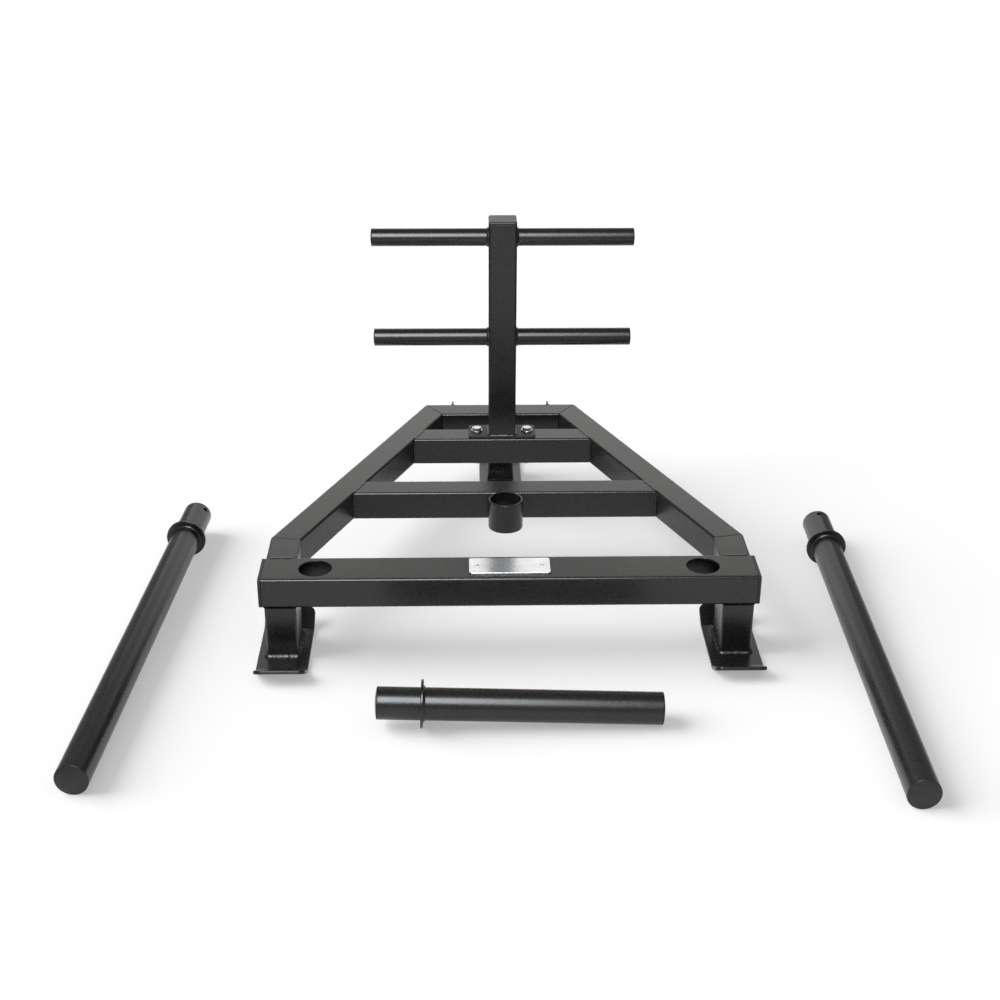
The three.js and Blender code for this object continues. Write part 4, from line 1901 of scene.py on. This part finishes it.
@dataclass(frozen=True)
class Studio:
    """The plain pale floor, the white room and the lamps."""

    floor_half: float = 20.0
    floor_grey: float = 0.74
    floor_lift: float = 0.34
    mirrored_floor_lift: float = 0.38
    lit_half: float = 0.6
    lit_fade: float = 0.3
    far_grey: float = 0.12
    ambient: float = 0.34
    room_behind: float = 0.26
    room_in_front: float = 0.5
    room_fade: tuple[float, float] = (0.5, 0.8)
    sun_strength: float = 3.4
    sun_way: tuple[float, float, float] = (0.86, -0.1, -0.56)
    sun_spread: float = math.radians(52)
    over_camera: SoftBox = SoftBox(
        "front_soft_box", (-0.42, -2.64, 2.8), (-0.2, -0.5, 0.3), (1.4, 2.2), 145.0, (0.9, 0.95, 1.0),
    )
    backdrop: SoftBox = SoftBox(
        "bright_backdrop", (0.0, 2.0, 0.875), (0.0, 1.0, 0.875), (2.6, 1.75), 14.0, (1.0, 0.985, 0.955),
    )

    def build(self) -> None:
        """Builds the floor, the room's light and the lamps."""
        self._floor()
        self._room()
        self._sun()
        for box in (self.over_camera, self.backdrop):
            self._soft_box(box)
        bpy.context.scene.view_settings.view_transform = "Standard"

    @staticmethod
    def _rays(graph: Graph) -> tuple[Signal, Signal]:
        """Tells rays apart.

        Args:
            graph: the node tree that asks.

        Returns:
            1 for what the camera sees, and 1 for what it sees in a reflection or through glass.
        """
        camera = graph.node("ShaderNodeLightPath", output="Is Camera Ray")
        return camera, camera.other("Is Glossy Ray") | camera.other("Is Transmission Ray")

    def _floor(self) -> None:
        """Lays a floor that shows white to the camera, keeps its shadows and mirrors a lit middle."""
        skin = Skin()
        half = self.floor_half
        corners = [Vector((x * half, y * half, 0)) for x, y in ((-1, -1), (1, -1), (1, 1), (-1, 1))]
        skin.faces.append(tuple(skin.ring(corners)))
        floor = skin.piece("studio_floor")
        material = bpy.data.materials.new("pale_floor")
        graph = Graph(material)
        camera, mirrored = self._rays(graph)
        shown = camera * self.floor_lift | mirrored * self.mirrored_floor_lift
        grey = (self.floor_grey, self.floor_grey, self.floor_grey, 1)
        lit = graph.node("ShaderNodeBsdfDiffuse", inputs={"Color": grey})
        lift = graph.node("ShaderNodeEmission", inputs={"Strength": shown})
        near = graph.node("ShaderNodeAddShader", inputs={0: lit, 1: lift})
        beyond = graph.node("ShaderNodeEmission", inputs={"Strength": self.far_grey})
        across = graph.node("ShaderNodeSeparateXYZ", inputs={0: graph.object_coords()}, output="X")
        fade_end = self.lit_half + self.lit_fade
        outer = graph.ramp(across | across * -1, (self.lit_half, 0.0), (fade_end, 1.0))
        mixed = {0: outer * mirrored, 1: near, 2: beyond}
        graph.end("ShaderNodeOutputMaterial", graph.node("ShaderNodeMixShader", inputs=mixed))
        floor.data.materials.append(material)

    def _room(self) -> None:
        """Makes the world white to the camera, and a grey room in reflections and as light."""
        world = bpy.data.worlds.new("white_room")
        bpy.context.scene.world = world
        graph = Graph(world)
        camera, mirrored = self._rays(graph)
        way = graph.node("ShaderNodeTexCoord", output="Generated")
        forward = graph.node("ShaderNodeSeparateXYZ", inputs={0: way}, output="Y")
        near, far = self.room_fade
        room = graph.ramp(0.5 - forward * 0.5, (near, self.room_behind), (far, self.room_in_front))
        inputs = {
            "Color": (1, 1, 1, 1),
            "Strength": camera + mirrored * room + (1 - (camera | mirrored)) * self.ambient,
        }
        graph.end("ShaderNodeOutputWorld", graph.node("ShaderNodeBackground", inputs=inputs))

    def _lamp(self, name: str, kind: str, way: Vector) -> bpy.types.Object:
        """Adds a lamp.

        Args:
            name: its name.
            kind: Blender's lamp type.
            way: where it shines.

        Returns:
            The lamp.
        """
        lamp = bpy.data.objects.new(name, bpy.data.lights.new(name, kind))
        lamp.rotation_euler = way.to_track_quat("-Z", "Y").to_euler()
        lamp.visible_camera = False
        bpy.context.scene.collection.objects.link(lamp)
        return lamp

    def _sun(self) -> None:
        """Adds the broad light from the left that throws the soft shadows."""
        lamp = self._lamp("left_light", "SUN", Vector(self.sun_way))
        lamp.data.energy = self.sun_strength
        lamp.data.angle = self.sun_spread
        lamp.visible_glossy = False

    def _soft_box(self, box: SoftBox) -> None:
        """Adds one of the lamps that draw highlights along edges, tops and tubes.

        Args:
            box: where it is and how it shines.
        """
        lamp = self._lamp(box.name, "AREA", Vector(box.aim) - Vector(box.place))
        lamp.location = box.place
        lamp.data.shape = "RECTANGLE"
        lamp.data.size, lamp.data.size_y = box.size
        lamp.data.energy = box.watts
        lamp.data.color = box.colour
        lamp.visible_diffuse = False


def main() -> None:
    """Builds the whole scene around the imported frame."""
    logging.basicConfig(level=logging.INFO, format="%(name)s %(message)s")
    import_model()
    PhotoCamera().build()
    assemblies: list[Assembly] = [
        PushBar(), BarePlate(), SideFrame(), PostSocket(),
        LegsAndSkids(), TowTabs(), Upright(), BaseBolts(),
        PushHandle("left_handle", name="left_handle", roll=math.radians(48)),
        PushHandle("right_handle", name="right_handle", roll=math.radians(2)),
        LooseTube("weight_post"),
    ]
    for assembly in assemblies:
        assembly.build()
    Studio().build()


if __name__ == "__main__":
    main()
